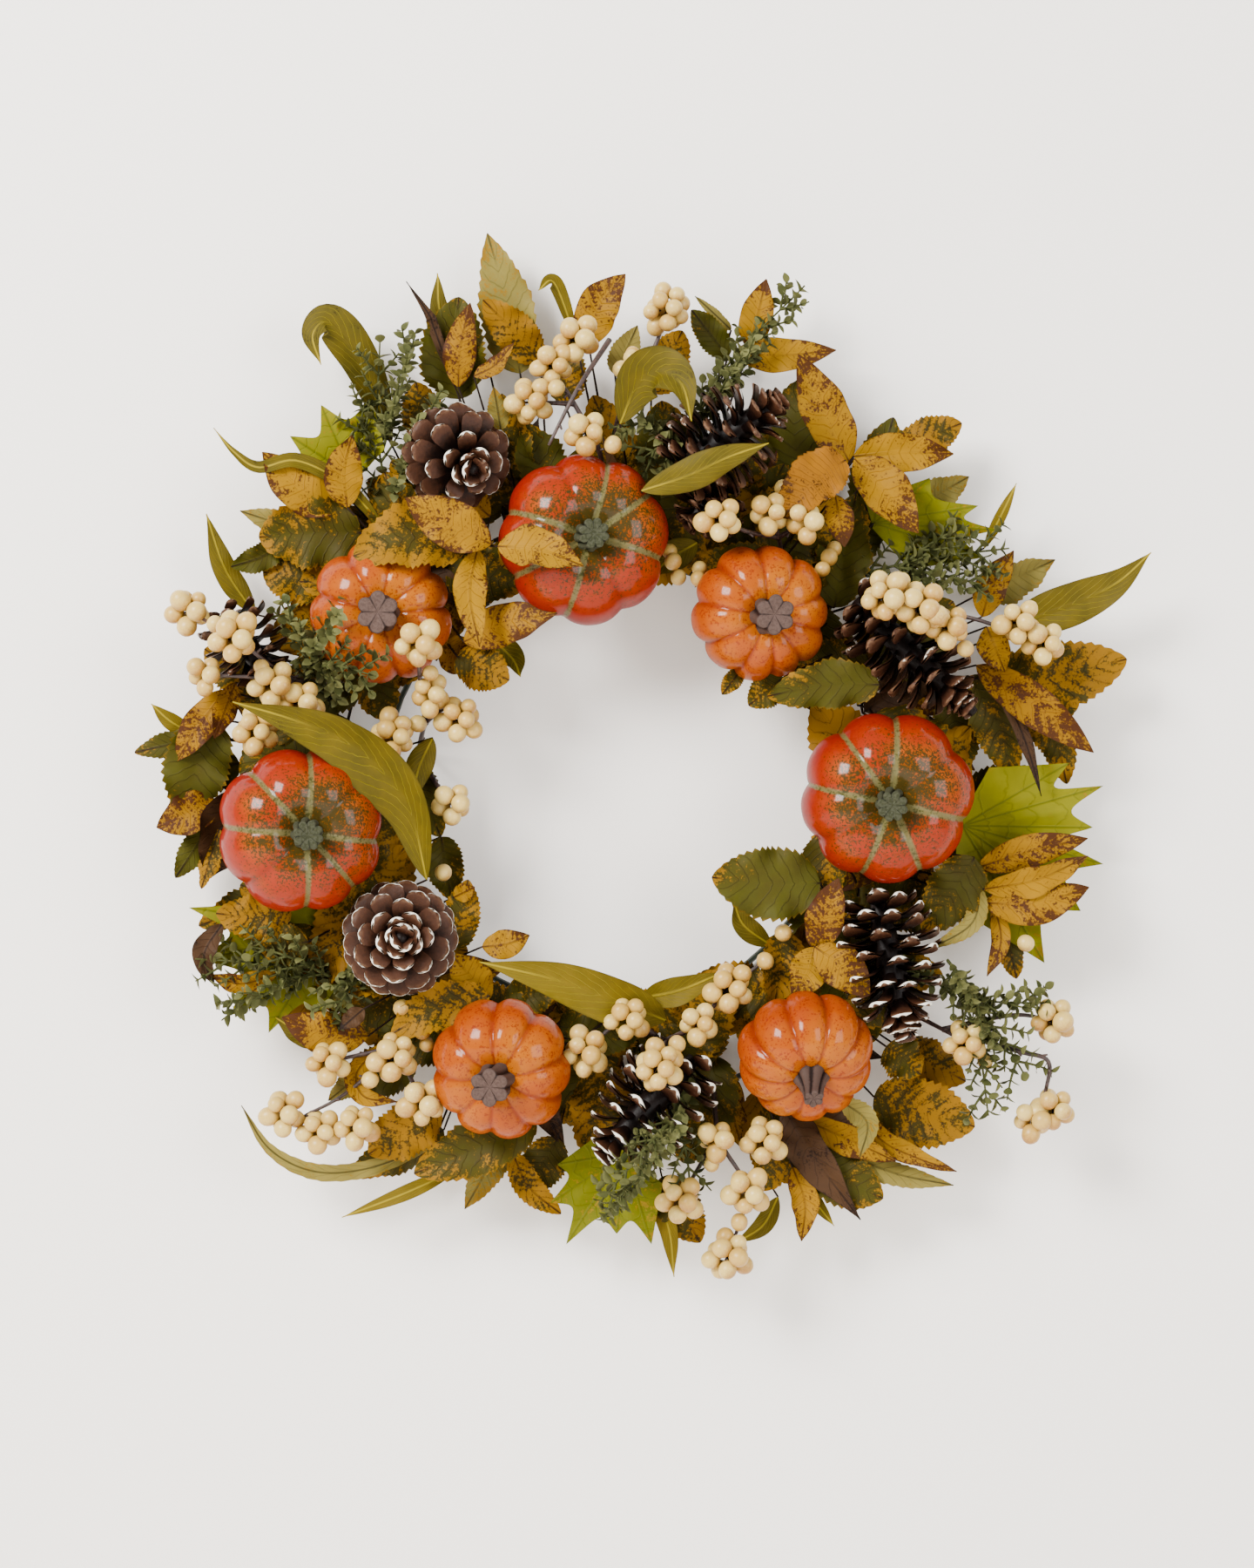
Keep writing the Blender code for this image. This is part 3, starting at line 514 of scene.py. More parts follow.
def add_pick(shape, middle, numbers):
    """A wire from the nearer hoop to a decoration's middle, wound round the hoop."""
    flat = np.array([middle[0] - CENTRE.x, 0, middle[2] - CENTRE.z])
    distance = np.linalg.norm(flat)
    out = flat / distance
    hoop = min((OUTER_RADIUS, INNER_RADIUS), key=lambda radius: abs(radius - distance)) - WIRE_RADIUS
    along = np.array([-out[2], 0, out[0]])
    foot = np.array([CENTRE.x, HOOP_FRONT + WIRE_RADIUS, CENTRE.z]) + out * hoop
    coil = []
    for t in np.linspace(0, COIL_TURNS * math.tau, COIL_TURNS * 12 + 1):
        round_wire = math.cos(t) * out + math.sin(t) * FRONT
        coil.append(foot + COIL_RADIUS * round_wire + along * COIL_PITCH * t / math.tau)
    rise = smooth_path([coil[-1], foot + FRONT * 0.012, np.array(middle)], 14)
    path = np.concatenate([coil, rise[1:]])
    shape.use(pick_finish)
    add_tube(shape, path, [PICK_WIRE] * len(path), numbers, 6)


print("picks of", PICK_WIRE * 2000, "mm wire")

# %% [markdown]
# ## Pumpkin places
# A pumpkin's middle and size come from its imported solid, without the wire behind it, and the way
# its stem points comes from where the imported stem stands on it.

# %% Where a pumpkin is and points
LEAVES_FRONT = 0.0315  # the leaves end behind this, and the pumpkins' bodies begin ahead of it


def facing(axis, turn=0.0):
    """The turn that takes +Z to the axis, after a turn about itself, as an array."""
    return np.array(axis.to_track_quat("Z", "Y").to_matrix() @ Matrix.Rotation(turn, 3, "Z"))


def body_box(node):
    """The box of a decoration without its wire: of its points ahead of the leaves' layers."""
    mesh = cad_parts[node].data
    points = np.array([v.co for v in mesh.vertices])
    points = points[points[:, 1] < HOOP_FRONT - LEAVES_FRONT]
    return Vector(points.min(0)), Vector(points.max(0))


def pumpkin_pose(name):
    """Its middle, its size, and the way from its middle to its stem's."""
    low, high = body_box(name)
    stem_low, stem_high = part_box(name + "_stem")
    middle = (low + high) / 2
    stem = (stem_low + stem_high) / 2
    return middle, high - low, (stem - middle).normalized()


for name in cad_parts:
    if "pumpkin" in name and not name.endswith("stem"):
        print(name, "points", [round(v, 2) for v in pumpkin_pose(name)[2]])

# %% [markdown]
# ## Pumpkin bodies
# A body is rings of points from pole to pole. A point's distance out is a sine of its angle,
# pressed in at the creases, and the lobes differ a little in width and in how far they swell.

# %% One pumpkin
LOBE_COLUMNS = 18
POLES = np.linspace(0.0, 1.0, 54)  # shares of the way from one pole to the other


def make_pumpkin(name, skin, lobes, crease, sharpness, flat, seed):
    """crease is how deep the creases are and flat how high the body, as shares of its radius."""
    middle, size, axis = pumpkin_pose(name)
    chance = random.Random(seed)
    radius = (size.x + size.z) / 4 * 1.05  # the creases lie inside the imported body's box
    turn = chance.uniform(0, math.tau)
    shares = np.cumsum([0] + [chance.uniform(0.85, 1.15) for _ in range(lobes)])
    shares = shares / shares[-1]
    around = np.arange(lobes * LOBE_COLUMNS) / (lobes * LOBE_COLUMNS)
    index = np.searchsorted(shares, around, side="right") - 1
    within = (around - shares[index]) / (shares[index + 1] - shares[index])
    puff = np.abs(np.sin(within * math.pi))
    swell = np.array([chance.uniform(-0.015, 0.03) for _ in range(lobes)])[index]
    rows = []
    for pole in POLES:
        angle = pole * math.pi
        ring = math.sin(angle) ** 0.86
        height = math.copysign(abs(math.cos(angle)) ** 0.9, math.cos(angle)) * flat
        dimple = math.exp(-((ring / 0.36) ** 2))
        cut = crease * (1 - puff) ** sharpness * min(1, ring * 2.2 + 0.15)
        outward = ring * (1 - cut + swell * ring)
        lift = height * (1 - 0.30 * dimple) - math.copysign(1, height) * cut * 0.55 * (1 - ring)
        rows.append(ring_points(outward, around * math.tau, lift))
    beside = np.minimum(within, 1 - within) / lobes * math.tau
    bare = (index + (within > 0.5)) % lobes % 4 == 3  # one crease in four has no stripe
    stripe = beside * np.maximum(0.2, np.sin(POLES * math.pi))[:, None] + bare * 1.0
    numbers = {
        "lobe": puff,
        "pole": np.repeat(POLES[::-1][:, None], len(puff), 1),
        "stripe": stripe[::-1],
    }
    points = np.array(rows)[::-1] * radius @ facing(axis, turn).T + np.array(middle)
    shape = Shape()
    shape.use(skin)
    shape.add_grid(points, numbers, closed=True, caps=True)
    add_pick(shape, middle, {"lobe": 0.0, "pole": 0.0, "stripe": 0.0})
    stand_in(shape, name, middle)


# %% [markdown]
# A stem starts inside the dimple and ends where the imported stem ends. Its outline is three radii:
# wide at the foot, narrow at the waist, and flared again at the cut end. The ribs turn a little
# on the way up, and the cut end dips towards its middle.

# %% One stem
STEM_TWIST = 0.5  # radians, from foot to end
CUT_FACE = ((0.9, -0.0004), (0.5, 0.0006), (0.02, 0.0012))  # ring size, and how far it is sunk


def make_stem(name, paint, ribs, sharp, radii, bend, seed):
    """A ribbed stem from inside the pumpkin's dimple to the end of the CAD stem."""
    _, _, axis = pumpkin_pose(name)
    foot, waist, end = radii
    low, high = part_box(name + "_stem")
    chance = random.Random(seed)
    length = high.y - low.y
    start = (low + high) / 2 - axis * length * 0.52
    side = Vector((chance.uniform(-1, 1), 0, chance.uniform(-1, 1))).normalized()
    turned = np.arange(ribs * 12) / (ribs * 12) * math.tau
    rib = np.abs(np.cos(turned * ribs / 2)) ** sharp
    rows = []
    for step in np.linspace(0, 1, 22):
        radius = waist + (foot - waist) * (1 - step) ** 2.6 + (end - waist) * step**2
        centre = start + axis * length * 1.02 * step + side * bend * step**2
        ring = radius * (1 - 0.24 * (1 - rib))
        points = ring_points(ring, turned + STEM_TWIST * step, 0)
        rows.append(points @ facing(axis).T + np.array(centre))
    ends = [0.0] * len(rows)
    tip = rows[-1]
    hub = tip.mean(0)
    for shrink, sink in CUT_FACE:
        rows.append(hub + (tip - hub) * shrink - np.array(axis) * sink)
        ends.append(1.0)
    shape = Shape()
    shape.use(paint)
    shape.add_grid(rows, {"rib": rib, "end": np.array(ends)[:, None]}, closed=True, caps=True)
    stand_in(shape, name + "_stem", start)


# %% [markdown]
# Three large pumpkins and four small ones. Each gets a seed of its own, so no two have the same
# lobes, and the small ones have nine or ten of them. The lowest small pumpkin's stem is a thin one.

# %% All the pumpkins
for seed, name in enumerate(("large_pumpkin_top", "large_pumpkin_left", "large_pumpkin_right")):
    make_pumpkin(name, red_skin, 8, 0.085, 1.3, 0.78, seed + 2)
    make_stem(name, green_stem, 8, 0.8, (0.0112, 0.0078, 0.0088), 0.001, seed + 2)
# name: the radii of the stem's foot, waist and end
SMALL = {
    "small_pumpkin_upper_left": (0.0130, 0.0096, 0.0122),
    "small_pumpkin_upper_right": (0.0130, 0.0092, 0.0116),
    "small_pumpkin_lower_left": (0.0130, 0.0092, 0.0114),
    "small_pumpkin_lower_right": (0.0136, 0.0060, 0.0058),
}
for seed, (name, radii) in enumerate(SMALL.items()):
    make_pumpkin(name, orange_skin, 9 + seed % 2, 0.105, 1.5, 0.76, seed + 11)
    make_stem(name, grey_stem, 6, 1.0, radii, 0.002, seed + 11)
print("pumpkins done")

# %% [markdown]
# ## Pine cones
# Natural cones, left open, with some white brushed on the scales' ends. A scale darkens almost to
# black where it leaves the core, partly its own darker brown and partly painted shade between the
# scales, and is paler at its rim. The number `reach` says how far along its scale a point is, and
# `frost` how white its scale is, so some cones are whiter than others.

# %% Cone finish
cone_finish = Finish("pine_cone", roughness=0.45, specular_ior_level=0.12)
reach = cone_finish.attribute("reach")
frost = cone_finish.attribute("frost")
grain = cone_finish.noise(420, 4)
# dark towards the core: the scale's own brown, and painted shade between the scales
brown = cone_finish.mix(rgb("#0E0604"), rgb("#3A2114"), (reach + (grain - 0.5) * 0.4).step(0.45, 0.92))
rim = reach.step(0.86, 0.97) * grain.step(0.36, 0.60)
brown = cone_finish.mix(brown, rgb("#6A4E38"), rim * 0.6)
white = (reach + (frost - 0.5) * 0.04).step(0.975, 1.0)
white = white * (frost + (grain - 0.5) * 1.1).step(0.34, 0.60)
cone_finish.set("base_color", cone_finish.mix(brown, rgb("#F4EFE0"), white * 0.9))
cone_finish.bump(grain, 0.35, 0.0008)
print("cone finish mixed")

# %% [markdown]
# Each scale is a small spoon: narrow where it leaves the core, wide and rounded at its end, and
# curled up there. It is one strip, which runs out along the upper side and back along the lower.

# %% One scale
SCALE_OUTLINE = (  # shares of the scale's length and of its width
    (0.0, 0.30), (0.30, 0.52), (0.58, 0.80), (0.78, 0.98), (0.90, 0.97), (0.97, 0.74), (1.0, 0.40),
)
SCALE_ACROSS = np.linspace(-1, 1, 7)


def add_scale(shape, base, outward, beside, length, half, white):
    upward = np.cross(beside, outward)
    thinning = np.sqrt(np.clip(1 - SCALE_ACROSS**2 * 0.85, 0.05, 1))
    rows, reaches = [], []
    for side in (1, -1):
        for t, w in SCALE_OUTLINE[::side]:
            cup = SCALE_ACROSS**2 * -0.22 * half * t + 0.30 * length * t**3
            thick = half * 0.20 * (1 + 1.6 * t) * (1 if t < 0.99 else 0.4) * thinning
            row = base + outward * length * t + np.outer(SCALE_ACROSS * w * half, beside)
            rows.append(row + np.outer(cup + side * thick / 2, upward))
            reaches.append((t + 0.07 * SCALE_ACROSS**2) * (1.0 if side > 0 else 0.93))
    shape.add_grid(rows, {"reach": np.array(reaches), "frost": white})


print("a scale has", len(SCALE_OUTLINE) * len(SCALE_ACROSS) * 2, "points")

# %% [markdown]
# A cone is a core with scales set round it in a sunflower spiral, each a golden angle on from the
# last, as they grow. The scales are longest at the cone's middle. They lie flat at its foot, rise
# towards its tip, and close up over the last third.

# %% One cone
GOLDEN_ANGLE = math.pi * (3 - math.sqrt(5))


def make_cone(name, start, end, width, scales, frosting, openness, seed):
    """start and end as (x, z, depth) in mm; openness is how many degrees the scales rise by."""
    chance = random.Random(seed)
    foot = np.array(place(*start))
    tip = np.array(place(*end))
    axis = Vector(tip - foot)
    turn = facing(axis.normalized())
    ahead = turn[:, 2]
    width *= MM
    shape = Shape()
    add_pick(shape, (foot + tip) / 2, {"reach": 0.0, "frost": 0.0})
    shape.use(cone_finish)
    core = width * 0.15 * np.sin(np.linspace(0.5, 2.8, 13))
    add_tube(shape, smooth_path([foot, tip], 12), core, {"reach": 0.0, "frost": 0.0}, 10)
    for i in range(scales):
        share = ((i + 0.5) / scales) ** 1.05
        bulge = math.sin(math.pi * min(1, 0.17 + 0.80 * share)) ** 0.62
        size = width / 2 * bulge
        closing = 45 * max(0, share - 0.65) / 0.35
        lean = math.radians(min(84, 6 + openness * share**1.5 + closing) + chance.uniform(-6, 6))
        angle = i * GOLDEN_ANGLE + chance.uniform(-0.06, 0.06)
        around = turn @ (math.cos(angle), math.sin(angle), 0)
        beside = turn @ (-math.sin(angle), math.cos(angle), 0)
        outward = around * math.cos(lean) + ahead * math.sin(lean)
        base = foot + ahead * axis.length * (share * 0.86 + 0.02) + around * size * 0.16
        length = max(size * 0.92, width * 0.21)
        half = width * (0.088 + 0.028 * bulge) * chance.uniform(0.9, 1.1)
        white = max(0.0, frosting + chance.uniform(-0.25, 0.25))
        add_scale(shape, base, outward, beside, length, half, white)
    stand_in(shape, name, (foot + tip) / 2)


# %% [markdown]
# Eight cones, between the pumpkins. Those that face the viewer have whiter scales, and two are
# seen end on.

# %% All the cones
# name: foot, tip, width, number of scales, whiteness, degrees of rise
CONES = {
    "pine_cone_top_left": ((-94, 192, 34), (-76, 176, 88), 56, 52, 0.60, 34),
    "pine_cone_top_right": ((38, 176, 60), (98, 218, 74), 56, 68, 0.15, 62),
    "pine_cone_top_right_inner": ((66, 168, 46), (46, 150, 52), 42, 42, 0.15, 62),
    "pine_cone_right": ((140, 104, 54), (206, 40, 76), 54, 74, 0.22, 66),
    "pine_cone_left": ((-220, 98, 44), (-192, 58, 54), 44, 52, 0.12, 62),
    "pine_cone_lower_left": ((-120, -88, 40), (-116, -86, 100), 60, 68, 0.78, 36),
    "pine_cone_bottom": ((48, -156, 54), (-6, -212, 70), 56, 56, 0.85, 58),
    "pine_cone_lower_right": ((152, -66, 54), (168, -144, 70), 58, 74, 0.60, 66),
}
for seed, (name, cone) in enumerate(CONES.items(), 1):
    make_cone(name, *cone, seed)
print(len(CONES), "cones made")

# %% [markdown]
# ## Berries
# The berries are painted foam beads threaded on fine wire in bunches. Their cream paint is
# darkened to tan at one side as painted shade, and the faint lines round them are where the bead
# was turned. The twigs are wire wrapped in brown paper tape.

# %% Berry and twig finishes
berry_finish = Finish(
    "berry", roughness=0.4, specular_ior_level=0.35, coat_weight=0.15, coat_roughness=0.25
)
tone = berry_finish.attribute("tone")
side = berry_finish.attribute("side")
turned_lines = (berry_finish.attribute("reach") * 14).wave()
grain = berry_finish.noise(900, 3)
cream = berry_finish.mix(rgb("#B69040"), rgb("#CCB060"), tone)
# painted shade: tan on the side of each berry that is turned away from the light
tan_shade = (1 - side + (grain - 0.5) * 0.6).step(0.35, 1.05)
colour = berry_finish.mix(cream, rgb("#8A5616"), tan_shade * 0.8)
berry_finish.set("base_color", berry_finish.mix(colour, rgb("#A77A36"), turned_lines * 0.10))
berry_finish.bump(grain * 0.4 + turned_lines * 0.3, 0.10, 0.0003)

twig_finish = Finish("berry_twig", roughness=0.5)
grain = twig_finish.noise(500, 3)
twig_finish.set("base_color", twig_finish.mix(rgb("#1F1210"), rgb("#3E2922"), grain.step(0.3, 0.7)))
twig_finish.bump(grain, 0.3, 0.0004)
print("berry finishes mixed")

# %% [markdown]
# A bunch is packed as a ball: its berries are placed on a spiral round the bunch's middle, nearer
# the middle in a small bunch, and are then pushed off those they touch while the whole is drawn
# in, until each just touches its neighbours.

# %% Packing a bunch
BERRY_RADIUS = 0.00545
PACKING_ROUNDS = 60
TOUCHING = 0.97  # of the two radii: foam beads press a little into each other


def pack_berries(centre, count, chance):
    """Centres and radii of berries that just touch, round the bunch's middle."""
    radii = np.array([BERRY_RADIUS * chance.uniform(0.84, 1.12) for _ in range(count)])
    away = 0.0068 * (count / 3.2) ** (1 / 2.6)
    spots = []
    for i in range(count):
        height = 1 - 1.75 * (i + 0.5) / count
        flat = math.sqrt(max(0, 1 - height * height))
        angle = i * GOLDEN_ANGLE
        point = np.array([flat * math.cos(angle), -height, flat * math.sin(angle)])
        spots.append(point * away * chance.uniform(0.85, 1.1))
    spots = np.array(spots)
    for _ in range(PACKING_ROUNDS):
        for i in range(count):
            apart = spots[i] - spots
            gaps = np.linalg.norm(apart, axis=1)
            gaps[i] = 1
            wanted = (radii[i] + radii) * TOUCHING
            for j in np.nonzero(gaps < wanted)[0]:
                push = apart[j] / (gaps[j] + 1e-9) * (wanted[j] - gaps[j]) * 0.5
                spots[i] += push
                spots[j] -= push
        spots *= 0.994
    return spots + np.array(centre), radii


print("a bunch of five packed:", pack_berries((0, 0, 0), 5, random.Random(1))[0].round(4).tolist()[0])

# %% [markdown]
# A berry is a slightly long ball, its pole pointing away from its twig and a little askew. Its
# tan side is painted shade, put on the side turned down and to the right, away from the light,
# more or less.

# %% One berry
BERRY_HEIGHTS = np.linspace(0.02, math.pi - 0.02, 11)
BERRY_AROUND = np.arange(14) / 14 * math.tau


def add_berry(shape, centre, radius, away, chance):
    askew = Vector([chance.uniform(-0.4, 0.4) for _ in range(3)])
    turn = facing(Vector(away) + askew)
    stretch = chance.uniform(0.97, 1.14)
    rows = []
    for height in BERRY_HEIGHTS:
        ring = ring_points(math.sin(height), BERRY_AROUND, -math.cos(height) * stretch)
        rows.append(centre + radius * (ring @ turn.T))
    # the way the painted shade falls: down and to the right, away from the light
    shade_way = Vector((chance.uniform(-0.2, 0.9), chance.uniform(-0.3, 0.6), -0.8)).normalized()
    lit = 0.5 - 0.5 * (((np.array(rows) - centre) / radius) @ np.array(shade_way))
    numbers = {"tone": chance.random(), "side": lit, "reach": BERRY_HEIGHTS[:, None] / math.pi}
    shape.add_grid(rows, numbers, closed=True, caps=True)


print("a berry has", len(BERRY_HEIGHTS) * len(BERRY_AROUND), "points")

# %% [markdown]
# A spray is bunches and single berries on forking twigs. Every berry of a bunch has its own fine
# wire, and the wires meet just behind the bunch's middle. The twigs carry short spurs.

# %% One berry spray
KNOT = np.array([0, 0.004, 0])  # from a bunch's middle to where its wires meet
TWIG_NUMBERS = {"tone": 0.5, "side": 1.0, "reach": 0.5}


def make_berries(name, clusters, singles, forks, seed):
    """clusters: (x, z, depth, count). forks: twigs as lists of (x, z, depth) points."""
    chance = random.Random(seed)
    shape = Shape()
    for x, z, depth, count in clusters:
        centre = np.array(place(x, z, depth))
        spots, radii = pack_berries(centre, round(count * 1.25), chance)
        shape.use(berry_finish)
        for spot, radius in zip(spots, radii):
            away = spot - centre - KNOT
            add_berry(shape, spot, radius, away / np.linalg.norm(away), chance)
        shape.use(twig_finish)
        for spot in spots:
            add_tube(shape, smooth_path([centre + KNOT, spot], 2), [0.0006] * 3, TWIG_NUMBERS, 5)
    shape.use(berry_finish)
    for x, z, depth, size in singles:
        away = Vector((x, -120, z)).normalized()
        add_berry(shape, np.array(place(x, z, depth)), size * MM / 2, away, chance)
    shape.use(twig_finish)
    for points in forks:
        path = smooth_path([place(*point) for point in points], 8 * (len(points) - 1))
        add_tube(shape, path, np.linspace(0.0017, 0.0009, len(path)), TWIG_NUMBERS, 8)
        for i in range(3, len(path) - 1, 5):
            spur = np.array([chance.uniform(-1, 1), -0.6, chance.uniform(-1, 1)])
            spur = path[i] + spur / np.linalg.norm(spur) * 0.0045
            spur = smooth_path([path[i], spur], 2)
            add_tube(shape, spur, [0.0010, 0.0008, 0.0006], TWIG_NUMBERS, 5)
    stand_in(shape, name)


# %% [markdown]
# Nine sprays. A twig's first point is on the ring, at a depth of 4 mm, and the others are where
# it forks or carries a bunch.

# %% All the berry sprays
# name: bunches (x, z, depth, count), single berries (x, z, depth, size), twigs
BERRIES = {
    "berry_spray_top": (
        ((-19, 253, 58, 6), (-32, 238, 62, 6), (-45, 217, 64, 7), (33, 271, 52, 9), (16, 237, 60, 7),
         (-13, 197, 90, 5)),
        ((2, 190, 92, 10), (-30, 224, 70, 10)),
        (((-4, 170, 4), (-6, 190, 50), (-20, 216, 58), (-32, 238, 56), (-19, 253, 54)),
         ((-20, 216, 58), (-45, 217, 60)), ((-4, 170, 4), (6, 214, 44), (16, 238, 56)),
         ((6, 214, 44), (24, 246, 46), (33, 270, 48)), ((0, 252, 66), (-18, 222, 84), (-34, 190, 90))),
    ),
    "berry_spray_upper_right": (
        ((90, 153, 70, 5), (62, 148, 92, 6), (111, 148, 72, 4)),
        ((34, 132, 50, 9), (36, 126, 54, 10), (51, 122, 52, 9), (50, 116, 58, 9), (125, 129, 50, 10),
         (121, 122, 54, 9), (128, 134, 46, 9), (98, 168, 60, 9), (39, 117, 52, 9)),
        (((100, 120, 4), (96, 140, 56), (90, 153, 66)), ((96, 140, 56), (78, 142, 74), (62, 148, 88)),
         ((96, 140, 56), (111, 148, 68))),
    ),
    "berry_spray_right": (
        ((154, 104, 98, 8), (174, 98, 98, 8), (190, 88, 92, 6), (232, 92, 64, 6), (247, 80, 60, 6)),
        ((183, 94, 106, 12), (200, 76, 88, 10), (164, 114, 90, 10)),
        (((140, 90, 4), (150, 100, 60), (172, 98, 92), (190, 88, 88)),
         ((150, 100, 4), (200, 96, 50), (247, 80, 56))),
    ),
    "berry_spray_left": (
        ((-239, 98, 62, 6), (-210, 82, 94, 8), (-230, 62, 64, 4), (-190, 56, 74, 7), (-174, 46, 72, 6),
         (-200, 30, 64, 8)),
        ((-222, 90, 84, 10), (-196, 66, 80, 9), (-190, 42, 76, 10)),
        (((-150, 60, 4), (-180, 60, 60), (-210, 82, 88), (-239, 98, 60)), ((-180, 60, 60), (-230, 62, 60)),
         ((-180, 60, 60), (-200, 30, 60))),
    ),
    "berry_spray_left_inner": (
        ((-106, 78, 102, 6), (-100, 50, 76, 5), (-84, 36, 70, 7), (-122, 27, 64, 8), (-88, -11, 60, 5)),
        ((-94, -50, 52, 10), (-100, 62, 84, 9), (-108, 34, 60, 10)),
        (((-110, 20, 4), (-104, 34, 50), (-92, 43, 66)), ((-104, 34, 50), (-106, 60, 84), (-106, 78, 98)),
         ((-110, 20, 4), (-98, 0, 46), (-88, -11, 56))),
    ),
    "berry_spray_lower_left": (
        ((-122, -155, 62, 8), (-160, -158, 58, 6), (-106, -181, 62, 6), (-144, -195, 56, 6),
         (-186, -188, 50, 6), (-166, -198, 50, 6)),
        ((-118, -127, 58, 10), (-106, -140, 58, 10), (-104, -148, 54, 9), (-136, -168, 60, 10)),
        (((-110, -130, 4), (-122, -150, 50), (-150, -176, 52), (-177, -191, 46)),
         ((-122, -150, 50), (-160, -158, 54)), ((-122, -150, 50), (-106, -181, 58))),
    ),
    "berry_spray_bottom": (
        ((-14, -152, 62, 8), (10, -132, 68, 7), (28, -158, 90, 9), (50, -135, 70, 5), (68, -115, 64, 9)),
        ((98, -84, 60, 10), (88, -100, 60, 10), (38, -146, 80, 10)),
        (((40, -145, 4), (32, -146, 50), (28, -156, 84)), ((32, -146, 50), (8, -134, 62), (-14, -152, 58)),
         ((32, -146, 50), (50, -135, 66), (68, -115, 60), (88, -100, 56))),
    ),
    "berry_spray_bottom_right": (
        ((60, -202, 60, 4), (88, -203, 54, 8), (78, -232, 60, 7), (40, -237, 54, 7), (68, -269, 50, 9)),
        ((58, -216, 58, 9), (74, -250, 52, 10)),
        (((60, -160, 4), (62, -200, 50), (78, -232, 54), (68, -269, 46)), ((62, -200, 50), (40, -237, 50))),
    ),
    "berry_spray_lower_right": (
        ((202, -147, 62, 7), (253, -135, 54, 7), (254, -186, 50, 6), (242, -192, 48, 5)),
        ((238, -91, 46, 10), (214, -158, 56, 9)),
        (((150, -120, 4), (190, -140, 50), (202, -147, 58)),
         ((190, -140, 50), (230, -132, 50), (253, -135, 50)),
         ((190, -140, 50), (232, -152, 56), (250, -158, 56), (249, -176, 52), (248, -188, 46))),
    ),
}
for seed, (name, spray) in enumerate(BERRIES.items()):
    make_berries(name, *spray, seed + 20)
print(len(BERRIES), "berry sprays made")

# %% [markdown]
# ## Leaf prints
# The leaves are polyester cloth, printed, pressed over a mould that gives each its fold and
# veins, and stiffened. So a leaf has a printed pattern and a pressed one, both laid out along
# its midrib: `along` goes from foot to tip, `across` from edge to edge, `vein` is the distance
# from the nearest main vein in centimetres, and `tone` differs from leaf to leaf.

# %% Leaf finishes


def leaf_finish(
    name, light, dark, blotch, blotching, midrib, lines, veins, line_share, slant=1.3, toning=0.3
):
    """blotching shifts how much of a leaf is blotched, and veins is how many lines cross it."""
    cloth = Finish(name, roughness=0.55, specular_ior_level=0.08)
    along, across = cloth.attribute("along"), cloth.attribute("across")
    tone, vein = cloth.attribute("tone"), cloth.attribute("vein")
    edge = abs(across)
    cloud = cloth.noise(75, 3)
    spots = cloth.noise(700, 3)
    colour = cloth.mix(rgb(light), rgb(dark), (cloud * 0.8 + tone * 0.55 - 0.28).clamp())
    between = (along * veins - edge * slant + (cloud - 0.5) * 1.2).wave()
    herring = between ** 40
    stain = (cloud - 0.5) * 1.7 + along**3 * 0.42 + edge**3 * 0.22 + (spots - 0.5) * 1.5
    stain = stain + (tone - 0.5) * toning + (0.5 - between) * 0.22
    colour = cloth.mix(colour, rgb(blotch), (stain + blotching).step(0.36, 0.66) * 0.92)
    herring = herring * (1 - edge.step(0.65, 1.0))
    colour = cloth.mix(colour, rgb(lines), herring * line_share)
    colour = cloth.mix(colour, rgb(midrib), (1 - vein.step(0.02, 0.075)) * 0.9)
    rim = edge.step(0.90, 1.0)
    colour = cloth.mix(colour, rgb(blotch), rim * 0.35)
    cloth.set("base_color", colour)
    cloth.bump(herring * 0.55 + (1 - vein.step(0.0, 0.12)) + spots * 0.12, 0.5, 0.0009)
    return cloth


LEAF_FINISHES = {
    "yellow": leaf_finish(
        "autumn_leaf", "#886200", "#704800", "#32160C", 0.27, "#3C2008", "#5A3400", 9, 0.45
    ),
    "dark": leaf_finish(
        "dark_leaf", "#3C3A08", "#2C1408", "#7A5400", 0.20, "#180A06", "#190C07", 9, 0.40, 1.8, 0.8
    ),
    "willow": leaf_finish(
        "olive_leaf", "#64520A", "#32300A", "#2A2206", -0.30, "#8C7A18", "#7E7014", 11, 0.55, 3.6
    ),
    "maple": leaf_finish(
        "maple_leaf", "#706C00", "#3E4604", "#7A5C06", 0.05, "#50520A", "#4A4C08", 7, 0.35
    ),
    "pale": leaf_finish(
        "pale_leaf", "#7E7034", "#585020", "#7A5808", 0.08, "#342E14", "#46401C", 10, 0.45, 1.6
    ),
    "gold": leaf_finish(
        "gold_leaf", "#885600", "#56340C", "#38200A", 0.1, "#261408", "#402406", 16, 0.55, 1.2
    ),
    "brown": leaf_finish(
        "brown_leaf", "#46301C", "#2A1A10", "#180E0A", 0.0, "#160C08", "#180E0A", 9, 0.35
    ),
}
print("leaf finishes:", ", ".join(LEAF_FINISHES))

# %% [markdown]
# ## Leaf shapes
# One function presses every simple leaf: a strip of cloth along a curve, with its kind's outline,
# a fold at the midrib, ripples, and fine teeth on the kinds that have them. The outline is a
# share of the width that rises from the foot and falls to the tip, each as fast as its kind asks.

